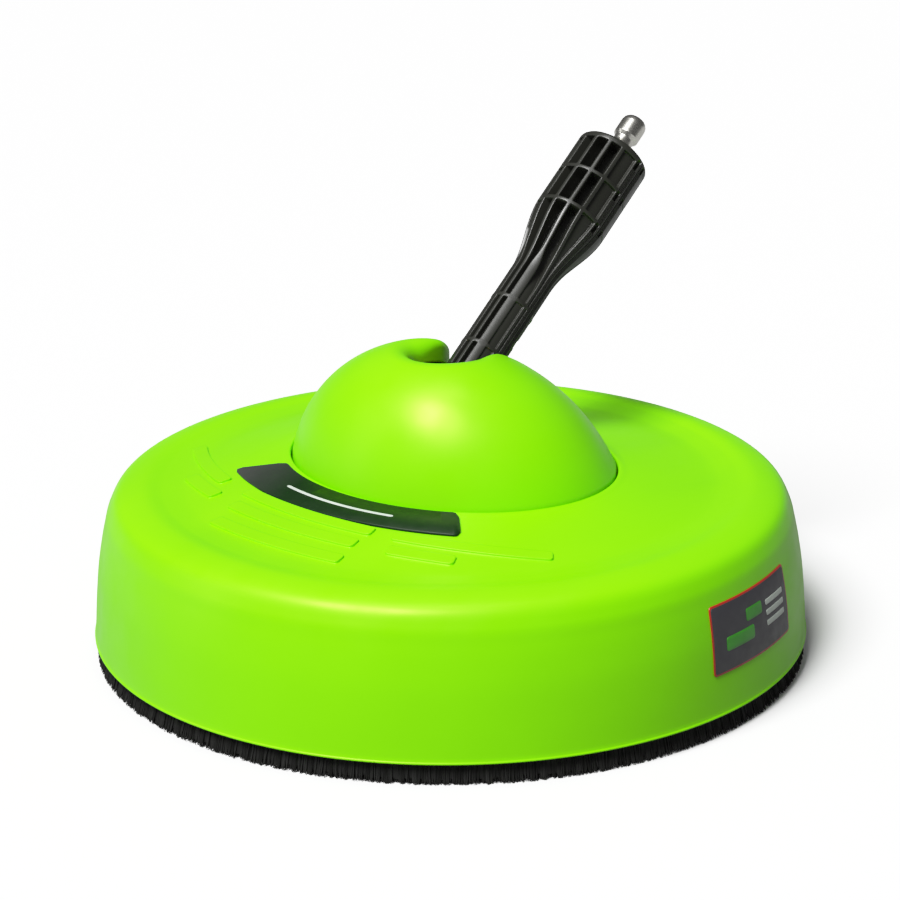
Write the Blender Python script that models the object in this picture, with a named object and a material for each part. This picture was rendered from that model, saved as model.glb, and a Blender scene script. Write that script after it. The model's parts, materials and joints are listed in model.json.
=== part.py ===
"""Surface cleaner head for a pressure washer.

A round deck with a brush skirt carries a domed cover.  A two-part lance tilts on a
hollow axle under the dome, and a spray bar spins on a swivel under the deck.

Every dimension in this file is in millimetres and becomes metres through MM where a
mesh or a placement is made.  The origin is the centre of the footprint on the ground,
+Z is up, -Y is the front with the badge, and the lance leans towards +Y.
"""
import math

import bmesh
import bpy
from mathutils import Matrix, Vector

MM = 0.001
GAP = 0.3                      # clearance between neighbouring pieces

# Deck: a turned shell with a leaning wall, a round shoulder and a shallow cone inside it
DECK_SEGMENTS = 56
DOME_SEGMENTS = 40
BRUSH_SEGMENTS = 40
DECK_WALL = 2.8
RIM_RADIUS = 152.5
RIM_Z = 10.0
SHOULDER_RADIUS = 149.0        # where the wall turns into the shoulder
SHOULDER_Z = 48.3
CREST_RADIUS = 129.0
CREST_Z = 73.3
VALLEY_RADIUS = 115.0
VALLEY_Z = 72.0

# Dome: an ellipsoid sheared towards the front, so each level section is an ellipse
DOME_CENTRE_Y = 7.6
DOME_CENTRE_Z = 57.0
DOME_SEMI_X = 76.6
DOME_SEMI_Y = 63.1
DOME_SEMI_Z = 76.9
DOME_LEAN = 0.207              # shift towards the front for each unit of height
DOME_BASE_Z = 81.6
DOME_WALL = 2.5
DOME_SEAM = 0.8                # open line between dome and deck
DOME_FLANGE = 8.5
DOME_FLANGE_Z = (74.0, 76.5)
SLOT_HALF_WIDTH = 14.0
SLOT_FRONT_Y = -3.0            # centre of the slot's round front end
SLOT_FLOOR_Z = 96.0
SLOT_LIP = 2.2
SLOT_LIP_DEPTH = 9.0

# Brush ring
CARRIER_OUTER = 148.1
CARRIER_INNER = 141.1
CARRIER_Z = (11.5, 22.0)
CARRIER_WALL = 1.5
CARRIER_CHANNEL_TOP = 18.5
BRISTLE_TIP_OUTER = 149.2
BRISTLE_TIP_INNER = 144.6

# Tilt pivot and lance
PIVOT_Z = 106.6
LANCE_ELEVATION = 35.8         # degrees above level at rest
LANCE_START = 13.5
LANCE_END = 138.9
LANCE_THIN_RADIUS = 9.8
LANCE_THICK_RADIUS = 16.5
LANCE_TAPER = (62.0, 98.0)
LANCE_RING_STATIONS = (28.3, 53.4, 101.0, 119.7)
LANCE_RING_WIDTH = 3.2
LANCE_BORE = 4.8
LANCE_SPLIT = 0.15             # half of the gap between the two shells
PLUG_TIP = 160.8
TUBE_RADIUS = 4.5
TUBE_BORE = 2.5
STEM_RADIUS = 6.4
STEM_END = 25.0
KNUCKLE_RADIUS = 11.2
KNUCKLE_HALF_LENGTH = 13.9
UPRIGHT_INNER_X = 14.5
UPRIGHT_OUTER_X = 19.5
UPRIGHT_RADIUS = 13.0
AXLE_RADIUS = 5.7
AXLE_BORE = 2.2

# Swivel and spray bar
PLATE_RADIUS = 112.0
PLATE_Z = (60.0, 63.0)
PLATE_SCREW_CIRCLE = 100.0
SWIVEL_SCREW_CIRCLE = 20.0
HOUSING_RADIUS = 16.4
HOUSING_FLANGE = 24.5
HOUSING_BOTTOM = 35.0
BEARING_BORE = 11.0
BEARING_HEIGHT = 7.0
BEARING_BOTTOMS = {"lower": 40.5, "upper": 49.0}
SPINDLE_RADIUS = 5.7
SPINDLE_FOOT = 30.5
INLET_Z = 74.5
FEED_X = 34.0
FEED_BEND = 8.0
ARM_Z = 28.0
ARM_RADIUS = 4.5
NOZZLE_CIRCLE = 118.0
NOZZLE_TILT = 12.0             # degrees, turns the bar by the jets' own thrust

FINISHES = {                   # linear colour, roughness, metallic
    "green_plastic": ((0.28, 0.85, 0.0), 0.34, 0.0),
    "black_plastic": ((0.012, 0.012, 0.012), 0.42, 0.0),
    "charcoal_film": ((0.045, 0.05, 0.045), 0.30, 0.0),
    "label_film": ((0.09, 0.09, 0.10), 0.38, 0.0),
    "bristle_nylon": ((0.01, 0.01, 0.01), 0.70, 0.0),
    "stainless": ((0.56, 0.55, 0.53), 0.28, 1.0),
    "brass": ((0.62, 0.42, 0.14), 0.30, 1.0),
    "zinc_steel": ((0.50, 0.50, 0.52), 0.35, 1.0),
    "aluminium": ((0.60, 0.60, 0.62), 0.35, 1.0),
    "seal_rubber": ((0.015, 0.015, 0.015), 0.80, 0.0),
    "bush_plastic": ((0.70, 0.68, 0.60), 0.45, 0.0),
}


# ---------------------------------------------------------------- scene and materials

def clear_scene():
    for item in list(bpy.data.objects):
        bpy.data.objects.remove(item, do_unlink=True)


def finish(name):
    """The shared material of one finish, made on first use."""
    found = bpy.data.materials.get(name)
    if found:
        return found
    colour, roughness, metallic = FINISHES[name]
    material = bpy.data.materials.new(name)
    material.use_nodes = True
    shader = material.node_tree.nodes["Principled BSDF"]
    shader.inputs["Base Color"].default_value = (*colour, 1.0)
    shader.inputs["Roughness"].default_value = roughness
    shader.inputs["Metallic"].default_value = metallic
    material.diffuse_color = (*colour, 1.0)
    return material


def add_empty(name, location_mm, rotation=(0.0, 0.0, 0.0)):
    empty = bpy.data.objects.new(name, None)
    empty.location = Vector(location_mm) * MM
    empty.rotation_euler = rotation
    bpy.context.collection.objects.link(empty)
    return empty


def add_object(name, bm, material, parent=None):
    """Turn a millimetre bmesh into a named object with outward faces."""
    bmesh.ops.recalc_face_normals(bm, faces=bm.faces)
    bmesh.ops.scale(bm, vec=(MM, MM, MM), verts=bm.verts)
    mesh = bpy.data.meshes.new(name)
    bm.to_mesh(mesh)
    bm.free()
    mesh.materials.append(finish(material))
    mesh.shade_smooth()
    mesh.set_sharp_from_angle(angle=math.radians(32))
    obj = bpy.data.objects.new(name, mesh)
    bpy.context.collection.objects.link(obj)
    obj.parent = parent
    return obj


# ---------------------------------------------------------------- mesh helpers

def loft(loops, capped):
    """Skin closed loops of equal length; capped ends, or a ring joined end to end."""
    bm = bmesh.new()
    rows = [[bm.verts.new(point) for point in loop] for loop in loops]
    pairs = list(zip(rows, rows[1:]))
    if not capped:
        pairs.append((rows[-1], rows[0]))
    for low, high in pairs:
        for i in range(len(low)):
            j = (i + 1) % len(low)
            bm.faces.new((low[i], low[j], high[j], high[i]))
    if capped:
        bm.faces.new(rows[0])
        bm.faces.new(rows[-1])
    return bm


def circle(radius, z, segments=DECK_SEGMENTS):
    step = 2 * math.pi / segments
    return [(radius * math.cos(step * i), radius * math.sin(step * i), z) for i in range(segments)]


def turned(profile, segments=20):
    """Spin a closed outline of (radius, height) points round Z."""
    return loft([circle(radius, z, segments) for radius, z in profile], capped=False)


def rod(radius, low, high, segments=20):
    """A solid cylinder along Z."""
    return loft([circle(radius, low, segments), circle(radius, high, segments)], capped=True)


def washer(inner, outer, low, high, segments=16):
    """A plain ring round Z."""
    return turned([(outer, low), (outer, high), (inner, high), (inner, low)], segments)


def block(low, high):
    """A box between two corners."""
    corners = [(low[0], low[1]), (high[0], low[1]), (high[0], high[1]), (low[0], high[1])]
    return loft([[(x, y, z) for x, y in corners] for z in (low[2], high[2])], capped=True)


def moved(bm, *steps):
    """Apply transforms in the order given."""
    for step in steps:
        bmesh.ops.transform(bm, matrix=step, verts=bm.verts)
    return bm


def shift(x, y, z):
    return Matrix.Translation((x, y, z))


def turn(degrees, axis):
    return Matrix.Rotation(math.radians(degrees), 4, axis)


ALONG_X = Matrix.Rotation(math.radians(90), 4, "Y")
ALONG_Y = Matrix.Rotation(math.radians(-90), 4, "X")


def combine(obj, bm, operation):
    """Apply one Boolean of a millimetre bmesh, placed in the object's own frame."""
    tool = add_object("tool", bm, obj.data.materials[0].name)
    tool.matrix_basis = obj.matrix_basis.copy()
    tool.parent = obj.parent
    bpy.context.view_layer.update()
    step = obj.modifiers.new("step", "BOOLEAN")
    step.operation = operation
    step.solver = "EXACT"
    step.object = tool
    graph = bpy.context.evaluated_depsgraph_get()
    result = bpy.data.meshes.new_from_object(obj.evaluated_get(graph))
    obj.modifiers.remove(step)
    obj.data = result
    bpy.data.objects.remove(tool, do_unlink=True)


def cut(obj, bm):
    combine(obj, bm, "DIFFERENCE")


def join(obj, bm):
    combine(obj, bm, "UNION")


def around(circle_radius, azimuth):
    """A point on a circle about Z."""
    angle = math.radians(azimuth)
    return circle_radius * math.cos(angle), circle_radius * math.sin(angle)


# ---------------------------------------------------------------- surfaces of deck and dome

def dome_section(z, offset=0.0):
    """Half-widths and centre of the dome's level section at height z."""
    rise = z - DOME_CENTRE_Z
    height = DOME_SEMI_Z + offset
    scale = math.sqrt(max(0.0, 1.0 - (rise / height) ** 2))
    centre = DOME_CENTRE_Y - DOME_LEAN * rise
    return (DOME_SEMI_X + offset) * scale, (DOME_SEMI_Y + offset) * scale, centre


def opening(offset, z, segments=DECK_SEGMENTS):
    """The deck's oval opening, or the dome's oval skirt, as a ring of points."""
    half_x, half_y, centre = dome_section(DOME_BASE_Z)
    ring = []
    for x, y, _ in circle(1.0, z, segments):
        ring.append(((half_x + offset) * x, centre + (half_y + offset) * y, z))
    return ring


def opening_radius(azimuth):
    """Distance from the vertical axis to the oval along one direction, in radians."""
    half_x, half_y, centre = dome_section(DOME_BASE_Z)
    c, s = math.cos(azimuth), math.sin(azimuth)
    a = (c / half_x) ** 2 + (s / half_y) ** 2
    b = -2 * s * centre / half_y ** 2
    k = (centre / half_y) ** 2 - 1
    return (-b + math.sqrt(b * b - 4 * a * k)) / (2 * a)


def cone_height(x, y):
    """Height of the deck's inner cone, from the valley up to the oval opening."""
    radius = math.hypot(x, y)
    edge = opening_radius(math.atan2(y, x))
    return DOME_BASE_Z + (VALLEY_Z - DOME_BASE_Z) * (radius - edge) / (VALLEY_RADIUS - edge)


def shoulder_point(angle, inset=0.0):
    """Radius and height on the shoulder, from the wall (0) to the crest (90 degrees)."""
    radius = CREST_RADIUS + (SHOULDER_RADIUS - CREST_RADIUS - inset) * math.cos(math.radians(angle))
    height = SHOULDER_Z + (CREST_Z - SHOULDER_Z - inset) * math.sin(math.radians(angle))
    return radius, height


def wall_radius(z):
    """Outer radius of the deck's side at height z."""
    if z < SHOULDER_Z:
        return RIM_RADIUS + (SHOULDER_RADIUS - RIM_RADIUS) * (z - RIM_Z) / (SHOULDER_Z - RIM_Z)
    lift = (z - SHOULDER_Z) / (CREST_Z - SHOULDER_Z)
    return CREST_RADIUS + (SHOULDER_RADIUS - CREST_RADIUS) * math.sqrt(1 - lift * lift)


# ---------------------------------------------------------------- deck

DOME_SCREW_AZIMUTHS = (35, 145, 215, 325)
PLATE_SCREW_AZIMUTHS = (45, 135, 225, 315)


def dome_screw_place(azimuth):
    reach = opening_radius(math.radians(azimuth)) + 4.5
    return around(reach, azimuth)


def deck_shell():
    outside = [circle(RIM_RADIUS, RIM_Z)]
    outside += [circle(*shoulder_point(angle)) for angle in (0, 25, 50, 70, 90)]
    outside += [circle(VALLEY_RADIUS, VALLEY_Z), opening(DOME_SEAM, DOME_BASE_Z)]
    inside = [opening(DOME_SEAM, DOME_BASE_Z - DECK_WALL), circle(VALLEY_RADIUS, VALLEY_Z - DECK_WALL)]
    inside += [circle(*shoulder_point(angle, DECK_WALL)) for angle in (90, 45, 0)]
    inside += [circle(RIM_RADIUS - DECK_WALL, RIM_Z)]
    deck = add_object("deck_shell", loft(outside + inside, capped=False), "green_plastic")
    for azimuth in PLATE_SCREW_AZIMUTHS:
        x, y = around(PLATE_SCREW_CIRCLE, azimuth)
        top = cone_height(x, y) - 1.2
        join(deck, moved(rod(5.0, PLATE_Z[1] + GAP, top, 12), shift(x, y, 0)))
        cut(deck, moved(rod(1.7, PLATE_Z[1] - 1, 71.0, 8), shift(x, y, 0)))
    for azimuth in DOME_SCREW_AZIMUTHS:
        x, y = dome_screw_place(azimuth)
        top = cone_height(x, y) - 1.0
        join(deck, moved(rod(3.2, DOME_FLANGE_Z[1] + GAP, top, 10), shift(x, y, 0)))
        cut(deck, moved(rod(1.3, DOME_FLANGE_Z[1] - 1, top - 0.8, 8), shift(x, y, 0)))


def dome_solid(offset, base_z, levels=8):
    """A solid of the dome's outer form, moved in by a negative offset."""
    top = DOME_CENTRE_Z + DOME_SEMI_Z + offset
    low = math.asin((base_z - DOME_CENTRE_Z) / (DOME_SEMI_Z + offset))
    loops = []
    for level in range(levels):
        angle = low + (math.pi / 2 - low) * level / levels
        z = DOME_CENTRE_Z + (DOME_SEMI_Z + offset) * math.sin(angle)
        half_x, half_y, centre = dome_section(z, offset)
        loops.append([(half_x * x, centre + half_y * y, z) for x, y, _ in circle(1.0, 0, DOME_SEGMENTS)])
    bm = loft(loops, capped=True)
    last = max(bm.faces, key=lambda face: face.calc_center_median().z)
    apex = bmesh.ops.poke(bm, faces=[last])["verts"][0]
    apex.co.z = top
    return bm


def slot_prism(half_width, low, high):
    """The slot's plan outline: a round front end and straight sides to the back."""
    back = 90.0
    outline = [(half_width, back), (-half_width, back)]
    for step in range(9):
        angle = math.pi + math.pi * step / 8
        outline.append((half_width * math.cos(angle), SLOT_FRONT_Y + half_width * math.sin(angle)))
    return loft([[(x, y, z) for x, y in outline] for z in (low, high)], capped=True)


def dome_cover():
    low, high = DOME_FLANGE_Z
    outline = [(0, DOME_BASE_Z + 0.4), (0, high), (DOME_FLANGE, high), (DOME_FLANGE, low)]
    outline += [(-DOME_WALL - 1, low), (-DOME_WALL - 1, DOME_BASE_Z + 0.4)]
    skirt = [opening(offset, z, DOME_SEGMENTS) for offset, z in outline]
    cover = add_object("dome_cover", dome_solid(0.0, DOME_BASE_Z), "green_plastic")
    join(cover, loft(skirt, capped=False))
    cut(cover, dome_solid(-DOME_WALL, DOME_BASE_Z - 3, 6))
    lip = add_object("lip", dome_solid(-0.4, SLOT_FLOOR_Z - 6), "green_plastic")
    cut(lip, dome_solid(-SLOT_LIP_DEPTH, SLOT_FLOOR_Z - 9, 6))
    combine(lip, slot_prism(SLOT_HALF_WIDTH + SLOT_LIP, SLOT_FLOOR_Z - SLOT_LIP, 140), "INTERSECT")
    bm = bmesh.new()
    bm.from_mesh(lip.data)
    bmesh.ops.scale(bm, vec=(1 / MM, 1 / MM, 1 / MM), verts=bm.verts)
    bpy.data.objects.remove(lip, do_unlink=True)
    join(cover, bm)
    cut(cover, slot_prism(SLOT_HALF_WIDTH, SLOT_FLOOR_Z, 150))
    for azimuth in DOME_SCREW_AZIMUTHS:
        x, y = dome_screw_place(azimuth)
        cut(cover, moved(rod(1.6, low - 1, high + 1, 8), shift(x, y, 0)))


def screw(name, length, shank, head_radius, head_height, material, parent=None):
    """A pan-head screw with its head's seat at z = 0 and its shank upwards."""
    profile = [(head_radius - 0.7, -head_height), (head_radius, 0.7 - head_height), (head_radius, 0.0)]
    profile += [(shank, 0.0), (shank, length)]
    loops = [circle(radius, z, 8) for radius, z in profile]
    return add_object(name, loft(loops, capped=True), material, parent)


def place(obj, x, y, z):
    obj.location = Vector((x, y, z)) * MM
    return obj


def fasteners_under_deck():
    for index, azimuth in enumerate(PLATE_SCREW_AZIMUTHS, 1):
        x, y = around(PLATE_SCREW_CIRCLE, azimuth)
        obj = screw(f"plate_screw_{index}", 10.6, 1.4, 4.0, 2.6, "zinc_steel")
        place(obj, x, y, PLATE_Z[0] - GAP)
    for index, azimuth in enumerate(DOME_SCREW_AZIMUTHS, 1):
        x, y = dome_screw_place(azimuth)
        obj = screw(f"dome_screw_{index}", 3.6, 1.0, 2.8, 2.0, "zinc_steel")
        place(obj, x, y, DOME_FLANGE_Z[0] - GAP)
    for index, azimuth in enumerate(PLATE_SCREW_AZIMUTHS, 1):
        x, y = around(SWIVEL_SCREW_CIRCLE, azimuth)
        obj = screw(f"swivel_screw_{index}", 9.6, 1.6, 3.2, 2.6, "zinc_steel")
        place(obj, x, y, PLATE_Z[0] - 3.0 - 2 * GAP)


def film_patch(name, columns, rows, point, thickness, material):
    """A thin plate over a surface: point(column, row, lift) in unit coordinates."""
    loops = []
    for i in range(columns + 1):
        lower = [point(i / columns, j / rows, GAP) for j in range(rows + 1)]
        upper = [point(i / columns, j / rows, GAP + thickness) for j in range(rows + 1)]
        loops.append(lower + upper[::-1])
    return add_object(name, loft(loops, capped=True), material)


BADGE_AZIMUTHS = (-142.0, -48.0)
BADGE_INSET = 3.0              # from the dome to the badge's inner edge
BADGE_ARC_CENTRE_Y = 41.0
BADGE_ARC_RADIUS = 118.0


def badge_plate():
    """A blank arc badge between the dome and a flatter outer arc."""
    def point(along, across, lift):
        azimuth = math.radians(BADGE_AZIMUTHS[0] + along * (BADGE_AZIMUTHS[1] - BADGE_AZIMUTHS[0]))
        inner = opening_radius(azimuth) + BADGE_INSET
        c, s = math.cos(azimuth), math.sin(azimuth)
        shift_s = BADGE_ARC_CENTRE_Y * s
        outer = shift_s + math.sqrt(shift_s ** 2 + BADGE_ARC_RADIUS ** 2 - BADGE_ARC_CENTRE_Y ** 2)
        corner = 2.6 * max(0.0, abs(2 * along - 1) - 0.94) / 0.06
        radius = inner + corner + (outer - inner - 2 * corner) * across
        x, y = radius * c, radius * s
        return x, y, cone_height(x, y) + lift
    return film_patch("badge_plate", 20, 1, point, 0.6, "charcoal_film")


LABEL_AZIMUTHS = (-7.0, 16.5)
LABEL_Z = (27.0, 56.5)


def side_label():
    """A blank label that follows the deck's side."""
    def point(along, across, lift):
        azimuth = math.radians(LABEL_AZIMUTHS[0] + along * (LABEL_AZIMUTHS[1] - LABEL_AZIMUTHS[0]))
        z = LABEL_Z[0] + across * (LABEL_Z[1] - LABEL_Z[0])
        radius = wall_radius(z) + lift
        return radius * math.cos(azimuth), radius * math.sin(azimuth), z
    return film_patch("side_label", 6, 3, point, 0.4, "label_film")


def brush_ring():
    low, high = CARRIER_Z
    wall = CARRIER_WALL
    carrier = [(CARRIER_OUTER, low), (CARRIER_OUTER, high), (CARRIER_INNER, high), (CARRIER_INNER, low)]
    carrier += [(CARRIER_INNER + wall, low), (CARRIER_INNER + wall, CARRIER_CHANNEL_TOP)]
    carrier += [(CARRIER_OUTER - wall, CARRIER_CHANNEL_TOP), (CARRIER_OUTER - wall, low)]
    add_object("brush_carrier", turned(carrier, BRUSH_SEGMENTS), "black_plastic")
    inner = CARRIER_INNER + wall + GAP
    outer = CARRIER_OUTER - wall - GAP
    bristles = [(BRISTLE_TIP_OUTER, 0.0), (outer, low - GAP), (outer, CARRIER_CHANNEL_TOP - GAP)]
    bristles += [(inner, CARRIER_CHANNEL_TOP - GAP), (inner, low - GAP), (BRISTLE_TIP_INNER, 0.0)]
    add_object("bristle_skirt", turned(bristles, BRUSH_SEGMENTS), "bristle_nylon")


def splash_plate():
    plate = add_object("splash_plate", washer(9.5, PLATE_RADIUS, *PLATE_Z, segments=40), "black_plastic")
    for azimuth in PLATE_SCREW_AZIMUTHS:
        for reach in (PLATE_SCREW_CIRCLE, SWIVEL_SCREW_CIRCLE):
            x, y = around(reach, azimuth)
            cut(plate, moved(rod(2.0, PLATE_Z[0] - 1, PLATE_Z[1] + 1, 8), shift(x, y, 0)))


# ---------------------------------------------------------------- tilt pivot

def upright(low_x, high_x, base):
    """An arched cheek plate, square at the foot and round over the axle."""
    outline = [(-UPRIGHT_RADIUS, base), (UPRIGHT_RADIUS, base)]
    for step in range(11):
        angle = math.pi * step / 10
        outline.append((UPRIGHT_RADIUS * math.cos(angle), PIVOT_Z + UPRIGHT_RADIUS * math.sin(angle)))
    return loft([[(x, y, z) for y, z in outline] for x in (low_x, high_x)], capped=True)


def pivot_cradle():
    """A round foot with two uprights that hold the axle's bushes."""
    foot = PLATE_Z[1] + GAP
    cradle = add_object("pivot_cradle", washer(10.5, 34.0, foot, foot + 4, segments=32), "black_plastic")
    for side in (-1, 1):
        low_x, high_x = sorted((side * UPRIGHT_INNER_X, side * UPRIGHT_OUTER_X))
        join(cradle, upright(low_x, high_x, foot + 1))
    cut(cradle, moved(rod(8.0, -30, 30), ALONG_X, shift(0, 0, PIVOT_Z)))
    cut(cradle, block((UPRIGHT_INNER_X - 2, -7.0, foot + 4.6), (UPRIGHT_OUTER_X + 2, 7.0, INLET_Z + 8)))
    for azimuth in PLATE_SCREW_AZIMUTHS:
        x, y = around(SWIVEL_SCREW_CIRCLE, azimuth)
        cut(cradle, moved(rod(1.9, foot - 1, foot + 3.4, 8), shift(x, y, 0)))


def axle_parts():
    """Hollow axle with a head, two seal grooves and a clip groove, lying along X."""
    seal_low, seal_high = 5.8, 8.2
    end = [(AXLE_BORE, 25.8), (3.4, 25.8), (3.4, 23.5), (AXLE_RADIUS, 23.5), (AXLE_RADIUS, 21.7)]
    end += [(4.8, 21.7), (4.8, 20.2), (AXLE_RADIUS, 20.2), (AXLE_RADIUS, seal_high), (4.6, seal_high)]
    middle = [(4.6, seal_low), (AXLE_RADIUS, seal_low), (AXLE_RADIUS, -seal_low), (4.6, -seal_low)]
    head = [(4.6, -seal_high), (AXLE_RADIUS, -seal_high), (AXLE_RADIUS, -19.8), (8.5, -19.8)]
    head += [(8.5, -22.8), (AXLE_BORE, -22.8)]
    axle = add_object("pivot_axle", turned(end + middle + head, 16), "stainless")
    cut(axle, moved(rod(1.8, -9, 9, 8), ALONG_X))
    clip = add_object("axle_clip", washer(5.1, 8.2, 20.5, 21.4), "zinc_steel")
    pieces = [axle, clip]
    for name, side in (("left", -1), ("right", 1)):
        low, high = sorted((side * (seal_low + GAP), side * (seal_high - GAP)))
        pieces.append(add_object(f"axle_seal_{name}", washer(4.9, AXLE_RADIUS, low, high), "seal_rubber"))
        low, high = sorted((side * UPRIGHT_INNER_X, side * UPRIGHT_OUTER_X))
        pieces.append(add_object(f"pivot_bush_{name}", washer(6.0, 7.6, low, high), "bush_plastic"))
    for piece in pieces:
        piece.matrix_basis = Matrix.Translation((0, 0, PIVOT_Z * MM)) @ ALONG_X


# ---------------------------------------------------------------- feed line

def bend_path(start, corner, end, radius, steps=4):
    """A path of two straight runs joined by an arc."""
    start, corner, end = Vector(start), Vector(corner), Vector(end)
    to_start = (start - corner).normalized()
    to_end = (end - corner).normalized()
    centre = corner + (to_start + to_end) * radius
    path = [start]
    for step in range(steps + 1):
        angle = math.pi / 2 * step / steps
        path.append(centre - to_end * radius * math.cos(angle) - to_start * radius * math.sin(angle))
    path.append(end)
    return path


def pipe(path, outer, inner, segments=12):
    """A hollow pipe along a path in the XZ plane."""
    rings_out = []
    rings_in = []
    for index, point in enumerate(path):
        before = path[max(index - 1, 0)]
        after = path[min(index + 1, len(path) - 1)]
        along = (after - before).normalized()
        side = Vector((0, 1, 0))
        other = along.cross(side)
        for rings, radius in ((rings_out, outer), (rings_in, inner)):
            ring = []
            for step in range(segments):
                angle = 2 * math.pi * step / segments
                ring.append(point + side * radius * math.cos(angle) + other * radius * math.sin(angle))
            rings.append(ring)
    return loft(rings_out + rings_in[::-1], capped=False)


def feed_line():
    lower = bend_path((9.8, 0, INLET_Z), (FEED_X, 0, INLET_Z), (FEED_X, 0, 88.0), FEED_BEND)
    add_object("feed_elbow_lower", pipe(lower, 5.3, 3.8), "brass")
    upper = bend_path((23.8, 0, PIVOT_Z), (FEED_X, 0, PIVOT_Z), (FEED_X, 0, 92.0), FEED_BEND)
    add_object("feed_elbow_upper", pipe(upper, 5.3, 3.8), "brass")
    tube = add_object("feed_pipe", washer(2.2, 3.4, 83.0, 97.5), "stainless")
    place(tube, FEED_X, 0, 0)
    loops = [circle(radius, z, 24) for radius, z in ((9.3, 66.3), (9.3, 81.0), (8.3, 82.0))]
    inlet = add_object("inlet_cap", loft(loops, capped=True), "brass")
    cut(inlet, rod(5.5, 60, 79, 16))
    cut(inlet, moved(rod(3.8, 0, 20, 12), ALONG_X, shift(0, 0, INLET_Z)))


# ---------------------------------------------------------------- lance

def lance_radius(t):
    """Outer radius along the lance, with an S-curve between thin and thick parts."""
    low, high = LANCE_TAPER
    share = min(1.0, max(0.0, (t - low) / (high - low)))
    blend = share * share * (3 - 2 * share)
    return LANCE_THIN_RADIUS + (LANCE_THICK_RADIUS - LANCE_THIN_RADIUS) * blend


def pocket_floor(t):
    """Depth to which the moulded pockets are cored, as a radius."""
    return 7.6 + (lance_radius(t) - LANCE_THIN_RADIUS) * 0.55


POCKET_ANGLES = ((-49, -29), (-23, -3), (3, 23), (29, 49))


def lance_columns():
    """Angles round the shell, with a flag for the ones on a pocket's floor."""
    columns = [(-90, False), (-70, False)]
    for low, high in POCKET_ANGLES:
        columns += [(low, False), (low + 1.5, True), (high - 1.5, True), (high, False)]
    return columns + [(70, False), (90, False)]


def lance_stations():
    """Stations along the shell, with a flag for the ones inside a pocket."""
    edges = [LANCE_START - 0.5]
    for ring in LANCE_RING_STATIONS:
        edges += [ring - LANCE_RING_WIDTH / 2, ring + LANCE_RING_WIDTH / 2]
    edges.append(LANCE_END - 3.0)
    stations = [(LANCE_START, False)]
    for low, high in zip(edges[0::2], edges[1::2]):
        low = max(low, LANCE_START + 2.5)
        stations += [(low, False), (low + 0.5, True)]
        steps = 4 if high - low > 30 else 1
        stations += [(low + (high - low) * i / steps, True) for i in range(1, steps)]
        stations += [(high - 0.5, True), (high, False)]
    return stations


def lance_half(name, side, parent):
    """One shell of the lance; side -1 is the upper one."""
    socket = STEM_RADIUS + GAP
    collar = (121.7, 130.3)
    inner = [(5.4, LANCE_END), (5.4, collar[1]), (7.7, collar[1]), (7.7, collar[0]), (LANCE_BORE, collar[0])]
    inner += [(LANCE_BORE, STEM_END + GAP), (socket, STEM_END + GAP), (socket, LANCE_START)]
    loops = []
    for degrees, on_floor in lance_columns():
        outer = []
        for t, in_pocket in lance_stations():
            radius = pocket_floor(t) if on_floor and in_pocket else lance_radius(t)
            outer.append((radius, t))
        outer += [(LANCE_THICK_RADIUS, LANCE_END - 1.5), (LANCE_THICK_RADIUS - 1.5, LANCE_END)]
        angle = math.radians(degrees)
        across, out = math.sin(angle), side * math.cos(angle)
        loops.append([(r * across, r * out + side * LANCE_SPLIT, t) for r, t in outer + inner])
    return add_object(name, loft(loops, capped=True), "black_plastic", parent)


LANCE_SCREW_PLACES = ((-7.0, 40.0, 4.3), (7.0, 40.0, 4.3), (-11.0, 110.0, 6.0), (11.0, 110.0, 6.0))


def lance_parts(parent):
    upper = lance_half("lance_shell_upper", -1, parent)
    lower = lance_half("lance_shell_lower", 1, parent)
    for index, (x, t, seat) in enumerate(LANCE_SCREW_PLACES, 1):
        spot = shift(x, 0, t)
        cut(lower, moved(rod(1.5, -1, 30, 8), ALONG_Y, spot))
        cut(lower, moved(rod(2.5, seat - GAP, 30, 10), ALONG_Y, spot))
        cut(upper, moved(rod(1.5, -seat - 0.8, 1, 8), ALONG_Y, spot))
        obj = screw(f"lance_screw_{index}", 2 * seat, 1.2, 2.2, 1.8, "zinc_steel", parent)
        obj.matrix_basis = Matrix.Translation((x * MM, seat * MM, t * MM)) @ turn(90, "X")
    tube = washer(TUBE_BORE, TUBE_RADIUS, 16.3, 121.4)
    add_object("lance_tube", tube, "stainless", parent)
    inlet_plug(parent)
    knuckle(parent)


def inlet_plug(parent):
    """Quick-connect plug: collar held by the shells, neck, locking groove and nose."""
    outside = [(7.4, 122.0), (7.4, 130.0), (5.1, 130.0), (5.1, 143.6), (4.2, 144.8), (4.2, 147.0)]
    outside += [(5.7, 148.6), (5.7, 158.2), (4.4, 160.2), (3.4, PLUG_TIP)]
    inside = [(TUBE_BORE, PLUG_TIP), (TUBE_BORE, 122.0)]
    add_object("inlet_plug", turned(outside + inside, 18), "stainless", parent)


def knuckle(parent):
    """Cross barrel on the axle, with a stem that carries the lance."""
    barrel = moved(rod(KNUCKLE_RADIUS, -KNUCKLE_HALF_LENGTH, KNUCKLE_HALF_LENGTH, 24), ALONG_X)
    body = add_object("pivot_knuckle", barrel, "brass", parent)
    join(body, rod(STEM_RADIUS, 2, STEM_END))
    cut(body, moved(rod(6.05, -20, 20), ALONG_X))
    cut(body, rod(AXLE_BORE, 2, STEM_END + 1, 10))
    cut(body, rod(TUBE_RADIUS + GAP, 16.0, STEM_END + 1, 16))


# ---------------------------------------------------------------- swivel and spray bar

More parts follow.
